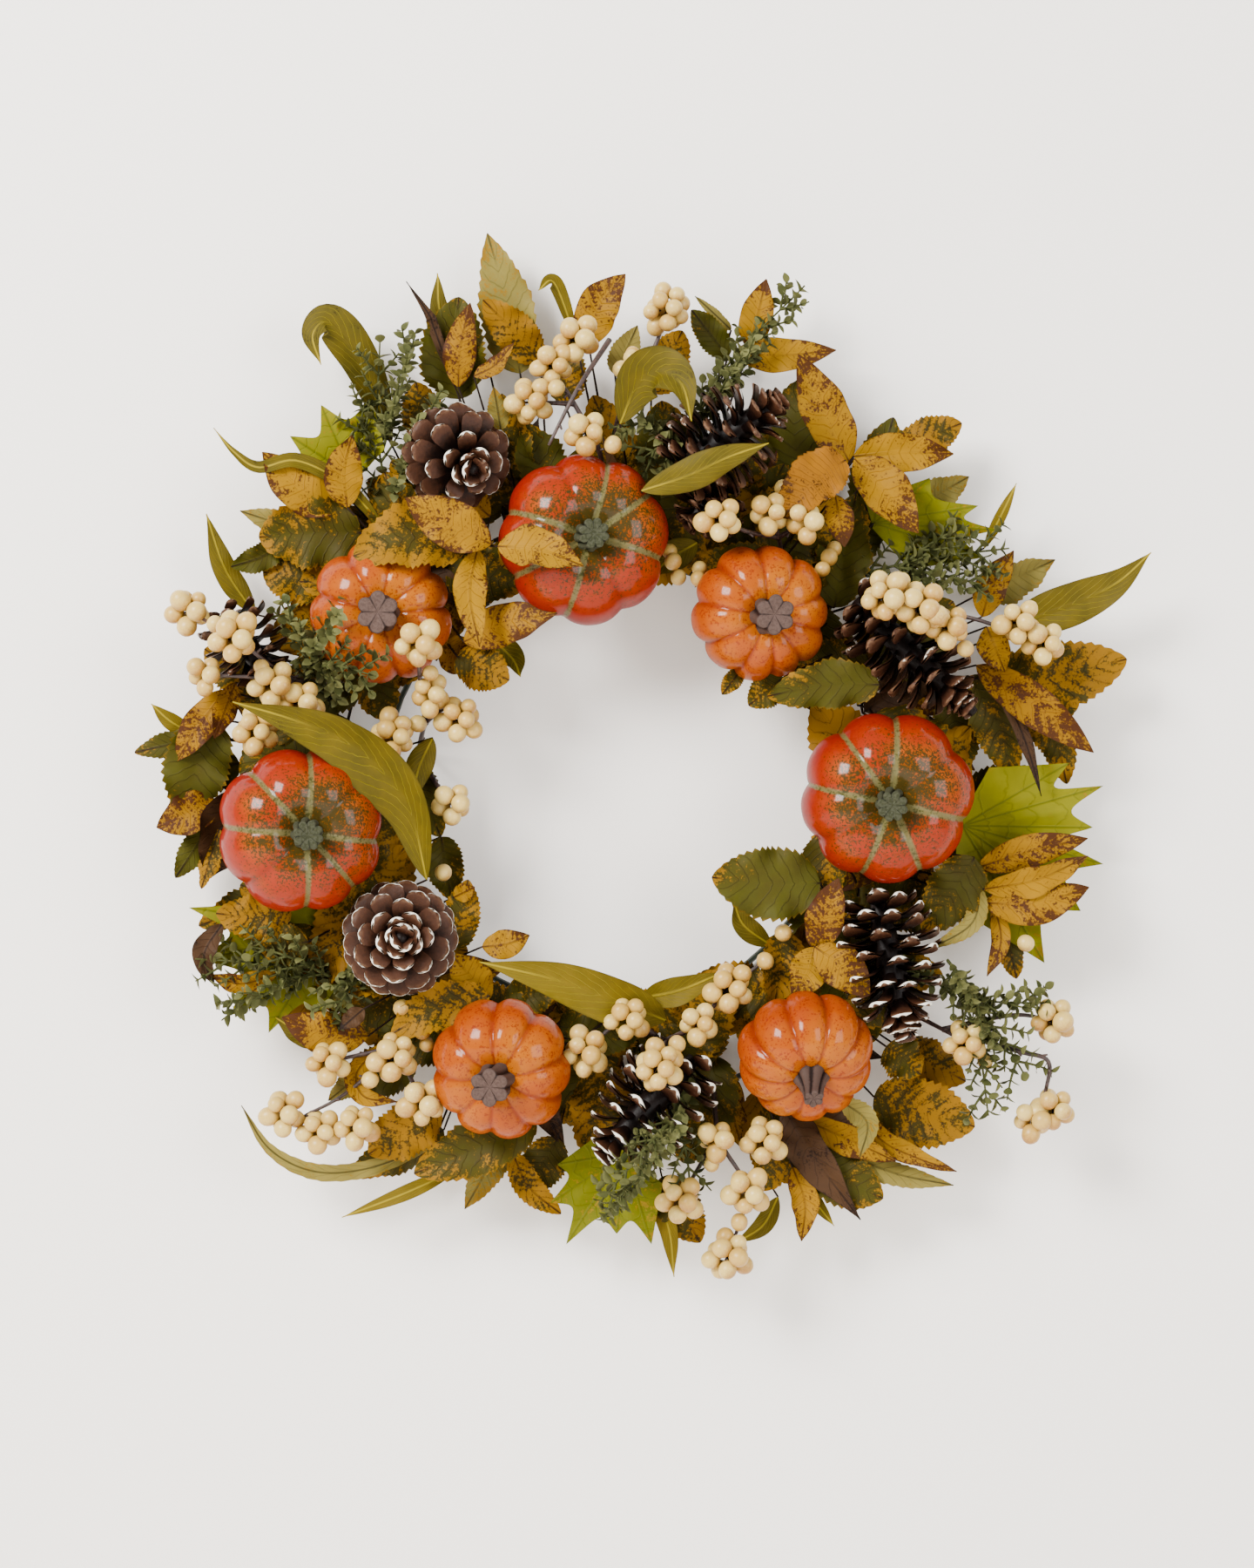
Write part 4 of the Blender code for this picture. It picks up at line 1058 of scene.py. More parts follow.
# %% One leaf
# kind: how blunt its foot is and how drawn out its tip, teeth a side, their depth, fold, ripple
LEAF_KINDS = {
    "yellow": (0.75, 0.95, 0, 0.0, 0.26, 0.16),
    "dark": (0.55, 0.72, 15, 0.15, 0.30, 0.20),
    "willow": (0.80, 1.15, 0, 0.0, 0.40, 0.10),
    "pale": (0.55, 0.95, 13, 0.13, 0.30, 0.18),
    "gold": (0.50, 0.60, 14, 0.10, 0.20, 0.20),
    "brown": (0.80, 1.20, 0, 0.0, 0.55, 0.22),
}
ACROSS = np.array([-1, -0.88, -0.6, -0.3, -0.06, 0.06, 0.3, 0.6, 0.88, 1.0])
CLOTH_WIDTH = 1.14  # of a leaf's listed width, which is what shows once it's folded and twisted


def add_leaf(shape, chance, kind, width, foot_depth, tip_depth, *numbers):
    """A leaf along the points x, z, x, z ... in mm. Gives where its foot is."""
    blunt, drawn, teeth, bite, fold, ripple = LEAF_KINDS[kind]
    points = list(zip(numbers[::2], numbers[1::2]))
    width *= CLOTH_WIDTH
    count = max(28, teeth * 4) if len(points) < 4 else 44
    flat = smooth_path(points, count)
    share = np.linspace(0, 1, count + 1)
    arch = chance.uniform(0.02, 0.10) * np.linalg.norm(flat[-1] - flat[0])
    depth = foot_depth + (tip_depth - foot_depth) * share**1.3 + arch * np.sin(share * math.pi)
    centre = np.array([place(x, z, d) for (x, z), d in zip(flat, depth)])
    tangent = np.gradient(centre, axis=0)
    tangent /= np.linalg.norm(tangent, axis=1)[:, None]
    side = np.cross(tangent, (0, -1.0, 0))
    side /= np.linalg.norm(side, axis=1)[:, None]
    front = np.cross(side, tangent)
    front *= np.sign(-front[:, 1:2])
    twist = chance.uniform(-0.3, 0.3) + chance.uniform(-0.35, 0.35) * share
    turned = side * np.cos(twist)[:, None] + front * np.sin(twist)[:, None]
    front = front * np.cos(twist)[:, None] - side * np.sin(twist)[:, None]
    top = blunt / (blunt + drawn)
    half = share**blunt * (1 - share) ** drawn / (top**blunt * (1 - top) ** drawn) * width * MM / 2
    half = np.maximum(half, 0.0003)
    saw = (share * teeth) % 1.0 if teeth else 0 * share
    edge_half = half * (1 + bite * (saw - 0.6))
    depth_fold = fold * chance.uniform(0.6, 1.3)
    curl = chance.uniform(-0.5, 0.15)
    phase = chance.uniform(0, math.tau)
    rows = []
    for i in range(count + 1):
        reach = np.where(np.abs(ACROSS) > 0.95, edge_half[i], half[i]) * ACROSS
        lift = depth_fold * np.abs(reach) + curl * reach**2 / (width * MM / 2)
        lift = lift + ripple * half[i] * np.abs(ACROSS) ** 2 * np.sin(share[i] * 17 + phase + ACROSS * 1.5)
        rows.append(centre[i] + np.outer(reach, turned[i]) + np.outer(lift, front[i]))
    shape.use(LEAF_FINISHES[kind])
    vein = np.abs(np.outer(half, ACROSS)) * 100
    numbers = {"along": share[:, None], "across": ACROSS, "vein": vein, "tone": chance.random()}
    shape.add_grid(rows, numbers)
    return centre[0]


print("kinds of leaf:", ", ".join(LEAF_KINDS))

# %% [markdown]
# The maple-like leaves are drawn from the tips of their lobes, with a notch between every two.
# Each is rings of its outline shrunk towards the hub, and it is folded along each lobe's vein.

# %% One maple-like leaf


def cross(a, b):
    """How far b turns from a, in the plane of the ring."""
    return a[0] * b[1] - a[1] * b[0]


def add_maple(shape, hub, tips, hub_depth, tip_depth, chance, notch=0.24):
    """A lobed leaf. The tips run clockwise or anticlockwise round the hub, all in mm."""
    hub = np.array(hub, float)
    tips = [np.array(tip, float) for tip in tips]

    def bowed(start, end, bow, count):
        """From start to end, bowed away from the hub by a share of the way to it."""
        share = np.linspace(0, 1, count, endpoint=False)[:, None]
        straight = start + (end - start) * share
        return straight + (straight - hub) * bow * np.sin(share * math.pi)

    def shoulder(tip, next_tip):
        """The side of the leaf beyond its first or last lobe: a direction, and its corner."""
        away = tip - hub
        beside = np.array([-away[1], away[0]]) * (-1 if cross(away, next_tip - hub) > 0 else 1)
        return beside, hub + away * 0.42 + beside * 0.30

    beside, corner = shoulder(tips[0], tips[1])
    outline = [hub + beside * 0.05, *bowed(corner, tips[0], 0.0, 5)]
    for start, end in zip(tips, tips[1:]):
        outline += list(bowed(start, end, -notch * chance.uniform(0.8, 1.2), 12))
    beside, corner = shoulder(tips[-1], tips[-2])
    outline += [*bowed(tips[-1], corner, 0.0, 5), corner, hub + beside * 0.05]
    outline = np.array(outline) - hub
    longest = max(np.linalg.norm(tip - hub) for tip in tips)
    axes = [(tip - hub) / np.linalg.norm(tip - hub) for tip in tips]
    droop = chance.uniform(0.4, 1.0)
    rows, veins, alongs = [], [], []
    for scale in np.linspace(0.0, 1.0, 13) ** 0.8:
        away = outline * scale
        reach = np.linalg.norm(away, axis=1)
        lobes = [np.abs(cross(axis, away.T)) + 9 * np.maximum(0.0, -away @ axis) for axis in axes]
        vein = np.min(lobes, axis=0)
        depth = hub_depth + (tip_depth - hub_depth) * (reach / longest) ** 1.4 + vein * 0.22
        depth += 2.2 * droop * np.sin(reach / longest * math.pi)
        rows.append([place(x, z, d) for (x, z), d in zip(hub + away, depth)])
        veins.append(vein / 10)
        alongs.append(reach / longest)
    shape.use(LEAF_FINISHES["maple"])
    veins = np.array(veins)
    numbers = {"along": np.array(alongs), "across": veins * 0.5, "vein": veins, "tone": chance.random()}
    shape.add_grid(rows, numbers)


print("a maple-like leaf is drawn from its hub and its tips")

# %% [markdown]
# ## Leaf sprays
# The maker binds a dozen leaves to one place of the ring. The ones that show are listed one by
# one below. Under them each spray has twelve smaller fillers, placed at random near its binding,
# that close the gaps. Every leaf has a wire stem, which runs along the ring before it rises to
# the leaf, so that no stem crosses the open middle or touches the wall.

# %% One leaf spray
FILLERS = (  # kind, and depth in mm
    ("dark", 8), ("dark", 20), ("yellow", 12), ("dark", 24), ("willow", 10), ("dark", 18),
    ("yellow", 14), ("dark", 26), ("pale", 9), ("dark", 15), ("dark", 22), ("brown", 16),
)
NEAREST, FARTHEST = 122, 224  # mm from the ring's centre, for the tip of a filler
STEM_RING, STEM_DEPTH = 156, 5  # mm from the ring's centre and ahead of the hoops


def filler(kind, layer, bearing, chance):
    """A leaf near the binding, as add_leaf takes it."""
    turn = bearing + chance.uniform(-0.27, 0.27)
    outward = chance.random() < 0.6
    foot = Vector((math.cos(turn), math.sin(turn))) * chance.uniform(150, 175)
    heading = turn + (0 if outward else math.pi) + chance.uniform(-1.0, 1.0)
    tip = foot + Vector((math.cos(heading), math.sin(heading))) * chance.uniform(48, 68)
    tip = tip.normalized() * min(max(tip.length, NEAREST), FARTHEST)
    width = chance.uniform(28, 40) if kind == "dark" else chance.uniform(14, 22)
    return kind, width, layer, layer + 8, *foot, *tip


def add_leaf_stem(shape, bearing, foot):
    """From the binding along the ring, then up to the leaf's foot."""
    sweep = math.atan2(foot[2] - CENTRE.z, foot[0] - CENTRE.x) - bearing
    sweep -= math.tau * round(sweep / math.tau)
    path = []
    for share in (0.0, 0.35, 0.7):
        bend = bearing + sweep * share
        path.append(place(STEM_RING * math.cos(bend), STEM_RING * math.sin(bend), STEM_DEPTH))
    path = smooth_path([*path, foot], 12)
    path[:, 1] = path[0, 1] + (foot[1] - path[0, 1]) * np.linspace(0, 1, 13) ** 3
    numbers = {"along": 0.5, "across": 0.0, "vein": 0.0, "tone": 0.6}
    add_tube(shape, path, np.linspace(0.0012, 0.0006, 13), numbers, 6)


def make_leaf_spray(name, slot, root, leaves, maples, seed):
    """leaves: (kind, width, foot depth, tip depth, x, z, ...) in mm. maples: (hub, tips, depths)."""
    chance = random.Random(seed)
    shape = Shape()
    bearing = math.atan2(root[1], root[0])
    feet = [add_leaf(shape, chance, *leaf) for leaf in leaves]
    for kind, layer in FILLERS:
        feet.append(add_leaf(shape, chance, *filler(kind, layer, bearing, chance)))
    for hub, tips, hub_depth, tip_depth in maples:
        add_maple(shape, hub, tips, hub_depth, tip_depth, chance)
        feet.append(np.array(place(*hub, hub_depth)))
    shape.use(LEAF_FINISHES["brown"])
    for foot in feet:
        add_leaf_stem(shape, bearing, foot)
    stand_in(shape, name)


# %% [markdown]
# ## Where the leaves go
# Each spray is bound to the ring at one place. Its leaves are listed by kind and width, with the
# depth of foot and tip, and the points that the midrib passes. Most lie behind the pumpkins and
# reach outward; those that lie over a pumpkin or a cone have depths over 60.

# %% All the leaf sprays
# name: slot, place of the binding, leaves, maples
SPRAYS = {
    "leaf_spray_top_left": ("autumn_leaf", (-62, 148), (
        ("dark", 35, 22, 26, -87, 222, -90, 250, -87, 281),
        ("pale", 30, 10, 18, -52, 238, -60, 280, -71, 319),
        ("dark", 22, 16, 28, -40, 244, -56, 262, -73, 279),
        ("brown", 6, 30, 36, -88, 226, -101, 262, -104, 270, -117, 289),
        ("yellow", 17, 34, 40, -87, 228, -86, 250, -80, 276),
        ("yellow", 10, 36, 38, -78, 234, -66, 240, -55, 253),
        ("pale", 11, 50, 58, -62, 202, -66, 226),
        ("dark", 24, 30, 36, -50, 176, -62, 224),
        ("dark", 24, 18, 22, -104, 196, -112, 232),
        ("willow", 12, 12, 16, -70, 240, -96, 268, -100, 296),
    ), ()),
    "leaf_spray_top": ("autumn_leaf", (39, 155), (
        ("willow", 8, 28, 40, -20, 258, -32, 288, -41, 283),
        ("yellow", 22, 30, 36, -12, 252, -6, 274, 9, 293),
        ("pale", 16, 24, 30, 3, 236, 16, 264),
        ("pale", 6, 24, 30, 70, 262, 49, 281),
        ("dark", 16, 26, 30, 68, 246, 47, 273),
        ("yellow", 17, 30, 38, 80, 250, 90, 290),
        ("yellow", 18, 34, 38, 72, 248, 98, 246, 130, 249),
        ("willow", 25, 66, 96, 6, 204, 16, 226, 29, 233, 41, 224, 46, 203),
        ("willow", 17, 92, 106, 18, 164, 44, 172, 66, 182, 89, 190),
        ("dark", 24, 16, 20, 24, 226, 42, 262),
        ("dark", 22, 14, 18, -26, 220, -24, 256),
        ("willow", 16, 34, 44, 50, 138, 34, 128, 24, 118),
    ), ()),
    "leaf_spray_upper_left": ("olive_leaf", (-112, 116), (
        ("willow", 22, 20, 34, -126, 196, -138, 230, -150, 252, -163, 266, -171, 258, -166, 241),
        ("yellow", 20, 44, 52, -150, 158, -152, 178, -147, 199),
        ("willow", 8, 34, 44, -129, 142, -139, 158, -157, 175, -180, 185, -201, 181, -215, 190, -227, 204),
        ("yellow", 25, 38, 44, -153, 158, -178, 170, -199, 190),
        ("dark", 38, 36, 30, -143, 144, -172, 144, -202, 142),
        ("dark", 15, 26, 30, -188, 138, -202, 130, -218, 125),
        ("willow", 13, 18, 24, -205, 98, -222, 124, -233, 156),
        ("dark", 34, 26, 24, -160, 118, -200, 122),
        ("dark", 26, 20, 20, -148, 162, -170, 186),
        ("pale", 18, 14, 18, -160, 140, -214, 158),
    ), (
        ((-147, 176), ((-137, 222), (-166, 218), (-184, 200), (-183, 176)), 30, 34),
    )),
    "leaf_spray_upper_left_inner": ("autumn_leaf", (-93, 122), (
        ("yellow", 20, 52, 60, -68, 152, -86, 168, -101, 181),
        ("dark", 35, 78, 84, -80, 134, -112, 138, -144, 128),
        ("yellow", 25, 90, 96, -66, 134, -90, 146, -114, 160),
        ("yellow", 17, 84, 96, -74, 132, -78, 106, -72, 76),
        ("yellow", 22, 106, 117, -62, 132, -40, 130, -14, 120),
        ("yellow", 22, 66, 84, -82, 80, -58, 90, -29, 95),
        ("dark", 25, 58, 66, -86, 72, -56, 58),
        ("yellow", 20, 48, 56, -96, 80, -74, 64),
        ("willow", 14, 40, 56, -78, 92, -56, 72, -50, 60),
    ), ()),
    "leaf_spray_upper_right": ("autumn_leaf", (96, 128), (
        ("dark", 31, 20, 28, 112, 172, 106, 204, 112, 234),
        ("yellow", 25, 34, 44, 138, 184, 122, 214, 108, 246),
        ("yellow", 21, 36, 44, 140, 188, 168, 190, 197, 189),
        ("yellow", 25, 44, 52, 140, 186, 158, 166, 176, 143),
        ("dark", 22, 26, 28, 160, 188, 184, 200, 203, 208),
        ("gold", 27, 60, 72, 134, 184, 116, 172, 98, 150),
        ("yellow", 15, 62, 68, 128, 164, 133, 134),
        ("willow", 6, 24, 34, 216, 136, 226, 156, 234, 173),
        ("dark", 26, 16, 20, 146, 150, 164, 212),
        ("dark", 26, 18, 22, 92, 176, 92, 214),
        ("pale", 20, 12, 16, 176, 160, 208, 178),
    ), (
        ((152, 150), ((158, 176), (184, 176), (212, 160), (223, 146), (214, 130)), 28, 34),
    )),
    "leaf_spray_right": ("olive_leaf", (144, 70), (
        ("yellow", 17, 30, 36, 214, 96, 220, 114, 232, 134),
        ("willow", 22, 26, 40, 222, 84, 246, 96, 270, 105, 292, 116, 311, 133),
        ("dark", 37, 24, 30, 218, 58, 258, 62, 298, 72),
        ("yellow", 17, 40, 46, 216, 90, 226, 64),
        ("yellow", 21, 38, 46, 210, 68, 244, 44, 277, 18),
        ("brown", 8, 40, 44, 220, 62, 236, 28, 247, -7),
        ("dark", 26, 34, 30, 206, 62, 222, 34, 232, 4),
        ("dark", 20, 22, 22, 232, 50, 256, 26, 264, 0),
        ("dark", 26, 72, 80, 152, 56, 122, 56, 88, 49),
        ("dark", 24, 26, 22, 196, 52, 204, 6),
        ("dark", 10, 56, 62, 74, 64, 63, 50),
        ("pale", 22, 14, 16, 214, 110, 258, 130),
        ("dark", 24, 12, 14, 212, 34, 272, 46),
        ("dark", 18, 60, 62, 98, 60, 78, 44),
    ), ()),
    "leaf_spray_right_maple": ("maple_leaf", (154, -44), (
        ("yellow", 17, 44, 52, 210, -48, 240, -38, 273, -31),
        ("yellow", 17, 48, 54, 214, -60, 244, -54, 273, -41),
        ("yellow", 22, 46, 50, 214, -68, 244, -68, 274, -59),
        ("yellow", 10, 40, 44, 220, -68, 224, -90, 216, -110),
        ("dark", 30, 50, 44, 208, -42, 196, -62, 179, -84),
        ("pale", 11, 46, 50, 212, -60, 206, -80, 181, -95),
        ("dark", 16, 30, 32, 226, -76, 234, -112),
        ("dark", 30, 18, 18, 196, -30, 244, -86),
        ("dark", 24, 14, 14, 200, -10, 250, 6),
    ), (
        ((203, -24), ((264, 12), (284, -1), (278, -25), (284, -46), (271, -73), (250, -103)), 26, 34),
    )),
    "leaf_spray_lower_right_inner": ("autumn_leaf", (101, -105), (
        ("dark", 38, 60, 70, 119, -56, 88, -56, 57, -52),
        ("dark", 24, 46, 50, 120, -28, 128, -68),
        ("yellow", 20, 62, 70, 116, -94, 122, -74, 129, -53),
        ("yellow", 20, 66, 72, 116, -92, 112, -106, 103, -120),
        ("yellow", 22, 68, 74, 116, -92, 132, -104, 147, -120),
        ("dark", 24, 48, 50, 100, -84, 94, -124),
        ("dark", 22, 44, 46, 118, -96, 136, -74),
        ("willow", 12, 40, 50, 92, -92, 76, -80, 70, -66),
    ), ()),
    "leaf_spray_lower_right": ("olive_leaf", (89, -133), (
        ("dark", 37, 28, 34, 152, -180, 180, -188, 210, -197),
        ("dark", 24, 44, 46, 158, -150, 178, -166),
        ("yellow", 12, 36, 44, 144, -186, 156, -204, 176, -214, 199, -222),
        ("dark", 31, 34, 38, 114, -206, 134, -226, 157, -238),
        ("pale", 14, 26, 32, 134, -212, 164, -224, 198, -231),
        ("willow", 8, 26, 36, 104, -220, 118, -240, 129, -254),
        ("yellow", 15, 36, 42, 105, -220, 112, -240, 110, -262),
        ("dark", 26, 30, 32, 100, -196, 88, -234),
        ("pale", 13, 64, 66, 132, -180, 146, -192, 142, -212),
        ("dark", 26, 16, 18, 164, -150, 206, -172),
        ("dark", 22, 14, 16, 120, -196, 180, -210),
        ("brown", 24, 24, 34, 96, -182, 126, -196, 150, -206),
        ("dark", 30, 18, 22, 100, -176, 112, -206, 136, -216),
        ("brown", 22, 30, 40, 100, -186, 116, -212, 144, -250),
        ("dark", 26, 12, 16, 84, -178, 92, -206, 108, -232),
        ("yellow", 16, 34, 44, 110, -192, 138, -204, 164, -216),
    ), ()),
    "leaf_spray_bottom": ("maple_leaf", (-5, -160), (
        ("willow", 10, 28, 38, 24, -230, 34, -256, 37, -283),
        ("dark", 24, 28, 30, 30, -226, 52, -264),
        ("willow", 10, 26, 34, 97, -238, 88, -254, 72, -264),
        ("dark", 15, 30, 34, -56, -212, -46, -232, -28, -247),
        ("dark", 24, 24, 24, -30, -204, -48, -236),
        ("dark", 30, 44, 44, -42, -192, -76, -208, -112, -223),
        ("dark", 24, 16, 18, 0, -206, 10, -252),
    ), (
        ((8, -212), ((24, -264), (4, -258), (-25, -264), (-34, -240), (-30, -218)), 34, 40),
    )),
    "leaf_spray_lower_left": ("olive_leaf", (-89, -133), (
        ("willow", 8, 28, 36, -88, -222, -120, -236, -154, -249),
        ("pale", 9, 30, 44, -102, -208, -140, -221, -170, -222, -195, -209, -211, -184),
        ("dark", 30, 40, 42, -98, -184, -138, -212),
        ("yellow", 12, 46, 54, -128, -148, -144, -164, -140, -178, -121, -181),
        ("pale", 14, 30, 32, -142, -166, -162, -182),
        ("yellow", 22, 44, 50, -138, -144, -164, -142, -187, -133),
        ("willow", 12, 30, 34, -166, -150, -192, -134),
        ("brown", 10, 50, 54, -140, -128, -154, -140),
        ("dark", 25, 58, 60, -68, -120, -98, -128, -124, -142),
        ("dark", 28, 22, 22, -112, -160, -156, -172),
        ("dark", 24, 16, 18, -96, -200, -150, -226),
        ("pale", 18, 14, 16, -60, -204, -84, -246),
    ), ()),
    "leaf_spray_left_maple": ("maple_leaf", (-143, -73), (
        ("dark", 24, 42, 46, -182, -72, -204, -76, -225, -74),
        ("yellow", 12, 44, 46, -190, -108, -210, -114, -229, -109),
        ("dark", 22, 46, 48, -172, -90, -200, -94),
        ("brown", 12, 40, 44, -222, -80, -232, -98, -226, -116),
        ("dark", 26, 18, 18, -150, -110, -196, -130),
        ("dark", 22, 14, 16, -186, -62, -238, -82),
    ), (
        ((-160, -84), (
            (-182, -54), (-242, -71), (-237, -101), (-218, -133), (-196, -143), (-166, -130),
        ), 28, 34),
    )),
    "leaf_spray_left": ("autumn_leaf", (-158, 22), (
        ("yellow", 22, 34, 38, -226, -10, -242, -18, -260, -25),
        ("dark", 16, 28, 30, -226, -18, -250, -54),
        ("dark", 13, 36, 40, -224, -26, -234, -60),
        ("brown", 30, 30, 30, -214, -4, -224, -30, -232, -56),
        ("dark", 15, 30, 36, -228, 26, -250, 23, -273, 18),
        ("dark", 35, 34, 36, -228, 38, -238, 8, -243, -22),
        ("willow", 9, 32, 40, -238, 28, -252, 36, -263, 46),
        ("yellow", 17, 40, 42, -220, 54, -236, 32, -248, 13),
        ("yellow", 13, 44, 46, -214, 58, -226, 26),
        ("dark", 24, 22, 22, -206, 60, -234, 78),
        ("dark", 26, 16, 16, -214, 12, -258, 2),
    ), ()),
    "leaf_spray_inner_left": ("olive_leaf", (-112, -52), (
        ("willow", 28, 62, 96, -103, -54, -112, -15, -130, 10, -152, 26, -180, 37, -211, 46),
        ("willow", 24, 54, 72, 32, -134, 8, -124, -30, -110, -73, -100),
        ("dark", 30, 34, 36, -36, -142, -64, -130, -92, -112),
        ("dark", 26, 30, 32, -24, -146, 22, -136),
        ("willow", 15, 56, 66, 18, -121, 40, -116, 64, -106),
        ("yellow", 20, 50, 54, -68, -122, -90, -96),
        ("yellow", 15, 56, 60, -72, -92, -58, -90, -45, -85),
        ("dark", 20, 44, 48, -88, -94, -80, -54),
        ("willow", 14, 52, 56, -100, 26, -108, 8, -111, -10),
        ("yellow", 10, 50, 54, -88, -64, -76, -58),
        ("dark", 22, 34, 36, -112, 10, -96, -30),
        ("dark", 20, 30, 32, -96, -30, -90, -66),
        ("dark", 22, 34, 38, -60, -124, -30, -118),
    ), ()),
}
for seed, (name, spray) in enumerate(SPRAYS.items()):
    make_leaf_spray(name, *spray, seed + 40)
print("leaves", sum(len(leaves) + len(maples) + len(FILLERS) for _, _, leaves, maples in SPRAYS.values()))

# %% [markdown]
# ## Greenery
# Thin branches of a small-leaved, grey-green evergreen. The real leaves are moulded plastic,
# a little paler towards their tips, and no two have quite the same green.

# %% Greenery finish
green_finish = Finish("greenery", roughness=0.6, specular_ior_level=0.08)
tone = green_finish.attribute("tone")
along = green_finish.attribute("along")
grain = green_finish.noise(300, 3)
leaf = green_finish.mix(rgb("#363A1C"), rgb("#626238"), (tone + (grain - 0.5) * 0.6).clamp())
green_finish.set("base_color", green_finish.mix(leaf, rgb("#76764C"), along.step(0.70, 1.0) * 0.5))
print("greenery finish mixed")

# %% [markdown]
# One small leaf: a strip of six rows of three points, folded at its middle and bent back at its
# tip.

# %% One small leaf
SMALL_OUTLINE = np.array([0.25, 0.8, 1.0, 0.92, 0.62, 0.10])  # half widths from foot to tip


def add_small_leaf(shape, foot, along, up, length, width, tone):
    side = np.cross(along, up)
    share = np.linspace(0, 1, len(SMALL_OUTLINE))
    across = np.array([-1, 0, 1])
    rows = []
    for reach, half in zip(share, SMALL_OUTLINE * width / 2):
        lift = np.abs(across) * half * 0.35 - 0.18 * length * reach**2
        rows.append(foot + along * length * reach + np.outer(across * half, side) + np.outer(lift, up))
    shape.add_grid(rows, {"tone": tone, "along": share[:, None]})


print("a small leaf has", len(SMALL_OUTLINE) * 3, "points")

# %% [markdown]
# A branch carries a pair of leaves, or of side twigs, every six millimetres. Each pair is turned a
# right angle from the last, as on a real shrub, and the leaves get smaller towards the end.

# %% One branch
PAIR_STEP = 0.0062
LEAF_WIDTH = 0.72  # as a share of its length


def add_branch(shape, path, chance, first=0.12, size=1.0, twigs=True):
    """Leaves in pairs along a stem, and short side twigs with leaves of their own."""
    stem = np.linspace(0.0011, 0.0005, len(path)) * size
    add_tube(shape, path, stem, {"tone": 0.15, "along": 0.0}, 6)
    steps = np.linalg.norm(np.diff(path, axis=0), axis=1).cumsum()
    total = steps[-1]
    spot = total * first
    turn = chance.uniform(0, math.pi)
    pair = 0
    while spot < total:
        k = int(np.searchsorted(steps, spot))
        along = path[min(k + 1, len(path) - 1)] - path[k]
        along /= np.linalg.norm(along)
        side = np.cross(along, (0, -1, 0))
        side /= np.linalg.norm(side) + 1e-9
        up = np.cross(side, along)
        for half_turn in (0, math.pi):
            angle = turn + half_turn + chance.uniform(-0.3, 0.3)
            out = side * math.cos(angle) + up * math.sin(angle)
            way = along * chance.uniform(0.55, 0.95) + out
            way /= np.linalg.norm(way)
            if twigs and pair % 2 == 0 and spot < total * 0.9:
                reach = chance.uniform(0.012, 0.020)
                middle = path[k] + way * reach * 0.5 + along * 0.002
                twig = smooth_path([path[k], middle, path[k] + way * reach + along * 0.006], 10)
                add_branch(shape, twig, chance, 0.25, 0.85, False)
                continue
            over = along * 0.9 - out * 0.3
            over -= way * np.dot(way, over)
            over /= np.linalg.norm(over)
            length = chance.uniform(0.0078, 0.0104) * size * (1 - 0.2 * spot / total)
            add_small_leaf(shape, path[k], way, over, length, length * LEAF_WIDTH, chance.random())
        turn += math.pi / 2
        pair += 1
        spot += PAIR_STEP * size


# %% [markdown]
# Seven sprigs. Each starts as one branch on the ring, and the others leave it part way up.

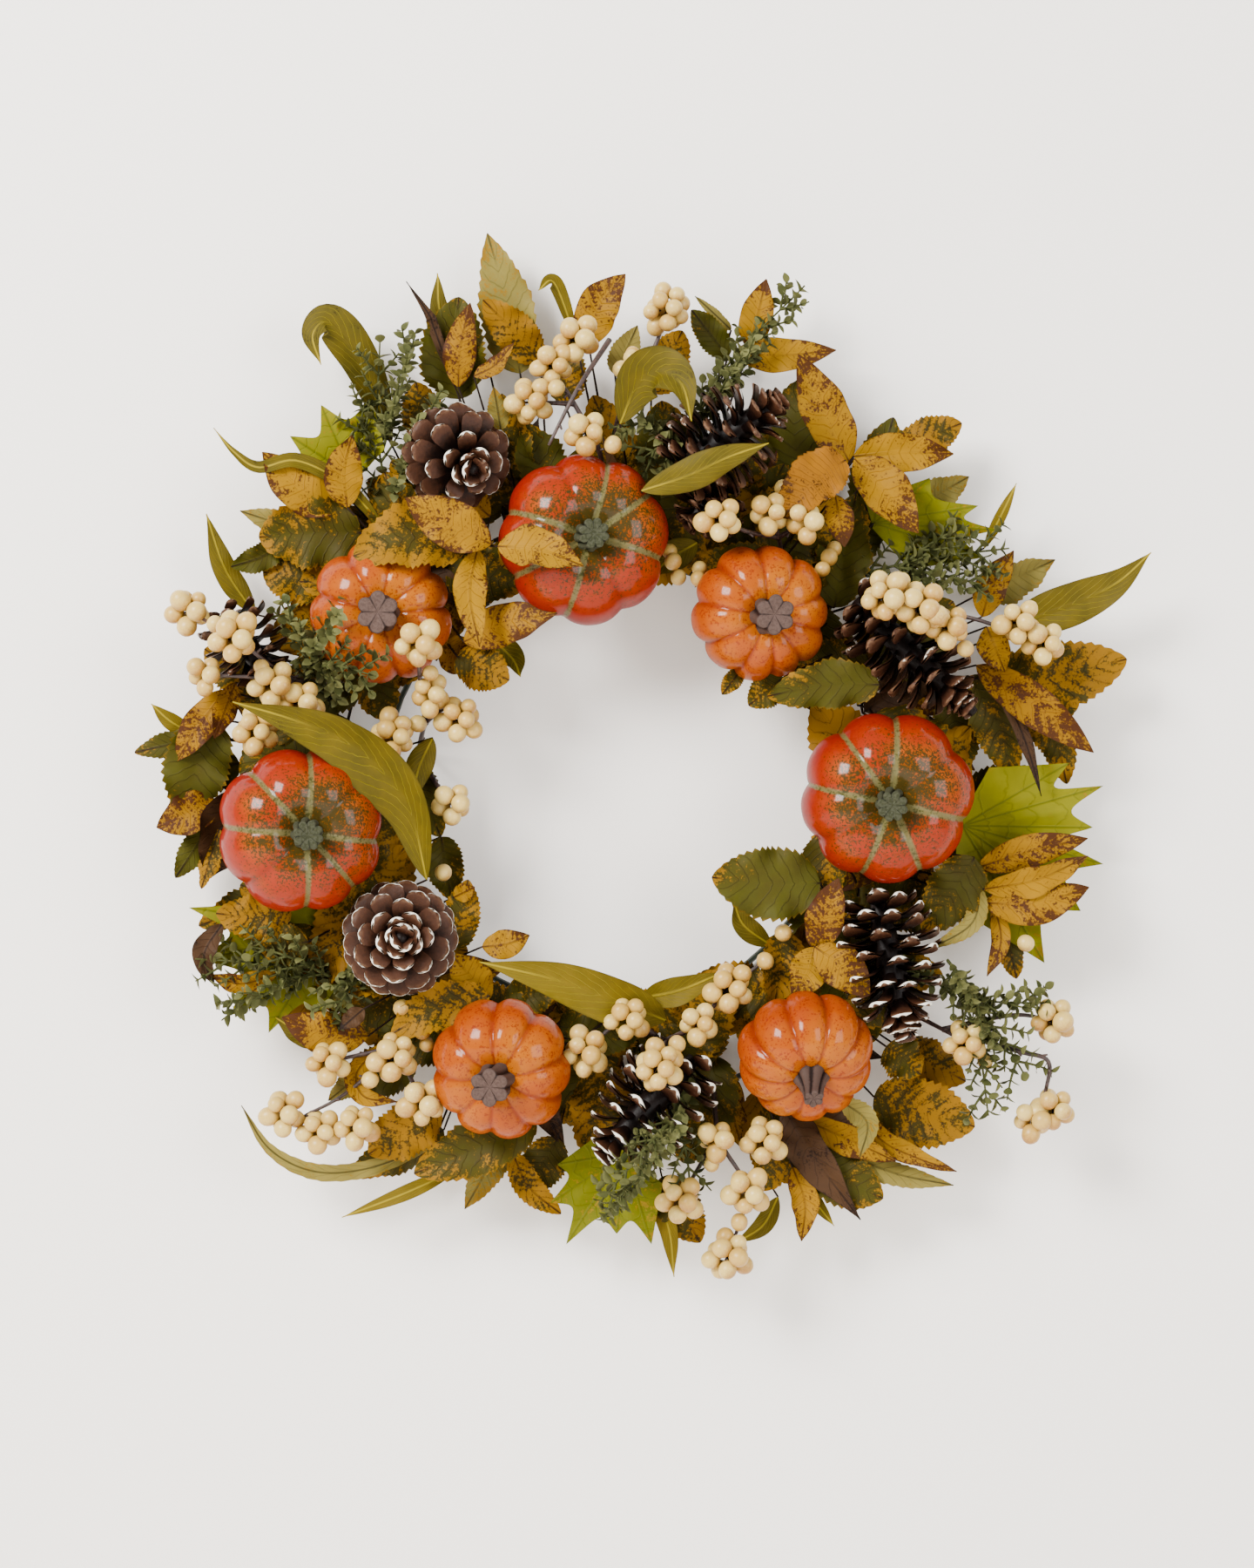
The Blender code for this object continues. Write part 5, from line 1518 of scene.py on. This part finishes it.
# %% All the sprigs
# name: branches, each as the points that it passes
GREENERY = {
    "greenery_sprig_upper_left": (
        ((-112, 112, 4), (-122, 150, 26), (-133, 196, 34), (-132, 258, 36)),
        ((-131, 190, 34), (-120, 226, 40), (-112, 256, 42)),
        ((-131, 190, 34), (-142, 204, 36), (-141, 218, 38)),
        ((-126, 160, 32), (-112, 196, 48), (-97, 221, 50)),
    ),
    "greenery_sprig_top": (
        ((40, 150, 4), (44, 190, 30), (66, 238, 38), (112, 286, 40)),
        ((50, 206, 36), (76, 238, 44), (92, 252, 46)),
        ((44, 190, 30), (22, 206, 52), (8, 200, 56)),
        ((44, 190, 40), (28, 190, 60), (16, 182, 62)),
    ),
    "greenery_sprig_right": (
        ((124, 96, 4), (140, 118, 30), (190, 130, 38), (229, 135, 42)),
        ((166, 124, 38), (196, 118, 46), (212, 114, 48)),
        ((166, 124, 38), (188, 140, 42), (206, 148, 42)),
    ),
    "greenery_sprig_left": (
        ((-158, 40, 4), (-164, 56, 50), (-172, 74, 66), (-186, 103, 70)),
        ((-170, 66, 64), (-152, 66, 86), (-130, 60, 98)),
        ((-172, 74, 66), (-158, 92, 84), (-150, 106, 88)),
    ),
    "greenery_sprig_lower_left": (
        ((-126, -94, 4), (-152, -110, 34), (-194, -103, 44), (-237, -100, 46)),
        ((-170, -108, 40), (-202, -122, 46), (-224, -126, 46)),
        ((-160, -110, 40), (-184, -98, 52), (-206, -92, 52)),
        ((-140, -104, 34), (-152, -122, 50), (-158, -134, 52)),
    ),
    "greenery_sprig_bottom": (
        ((50, -150, 4), (44, -180, 50), (24, -212, 88), (0, -246, 78)),
        ((40, -186, 66), (20, -204, 98), (-6, -236, 88)),
        ((38, -190, 56), (44, -212, 58), (46, -234, 54)),
    ),
    "greenery_sprig_lower_right": (
        ((138, -80, 4), (170, -104, 44), (208, -122, 58), (251, -125, 56)),
        ((192, -108, 56), (208, -140, 62), (216, -189, 56)),
        ((196, -116, 56), (220, -140, 60), (238, -168, 56)),
        ((192, -100, 56), (206, -118, 66), (216, -142, 66)),
    ),
}
for seed, (name, branches) in enumerate(GREENERY.items()):
    chance = random.Random(seed + 70)
    shape = Shape()
    shape.use(green_finish)
    for i, points in enumerate(branches):
        path = smooth_path([place(*point) for point in points], 14 * (len(points) - 1))
        add_branch(shape, path, chance, first=0.12 if i else 0.3)
    stand_in(shape, name)
print(len(GREENERY), "sprigs made")
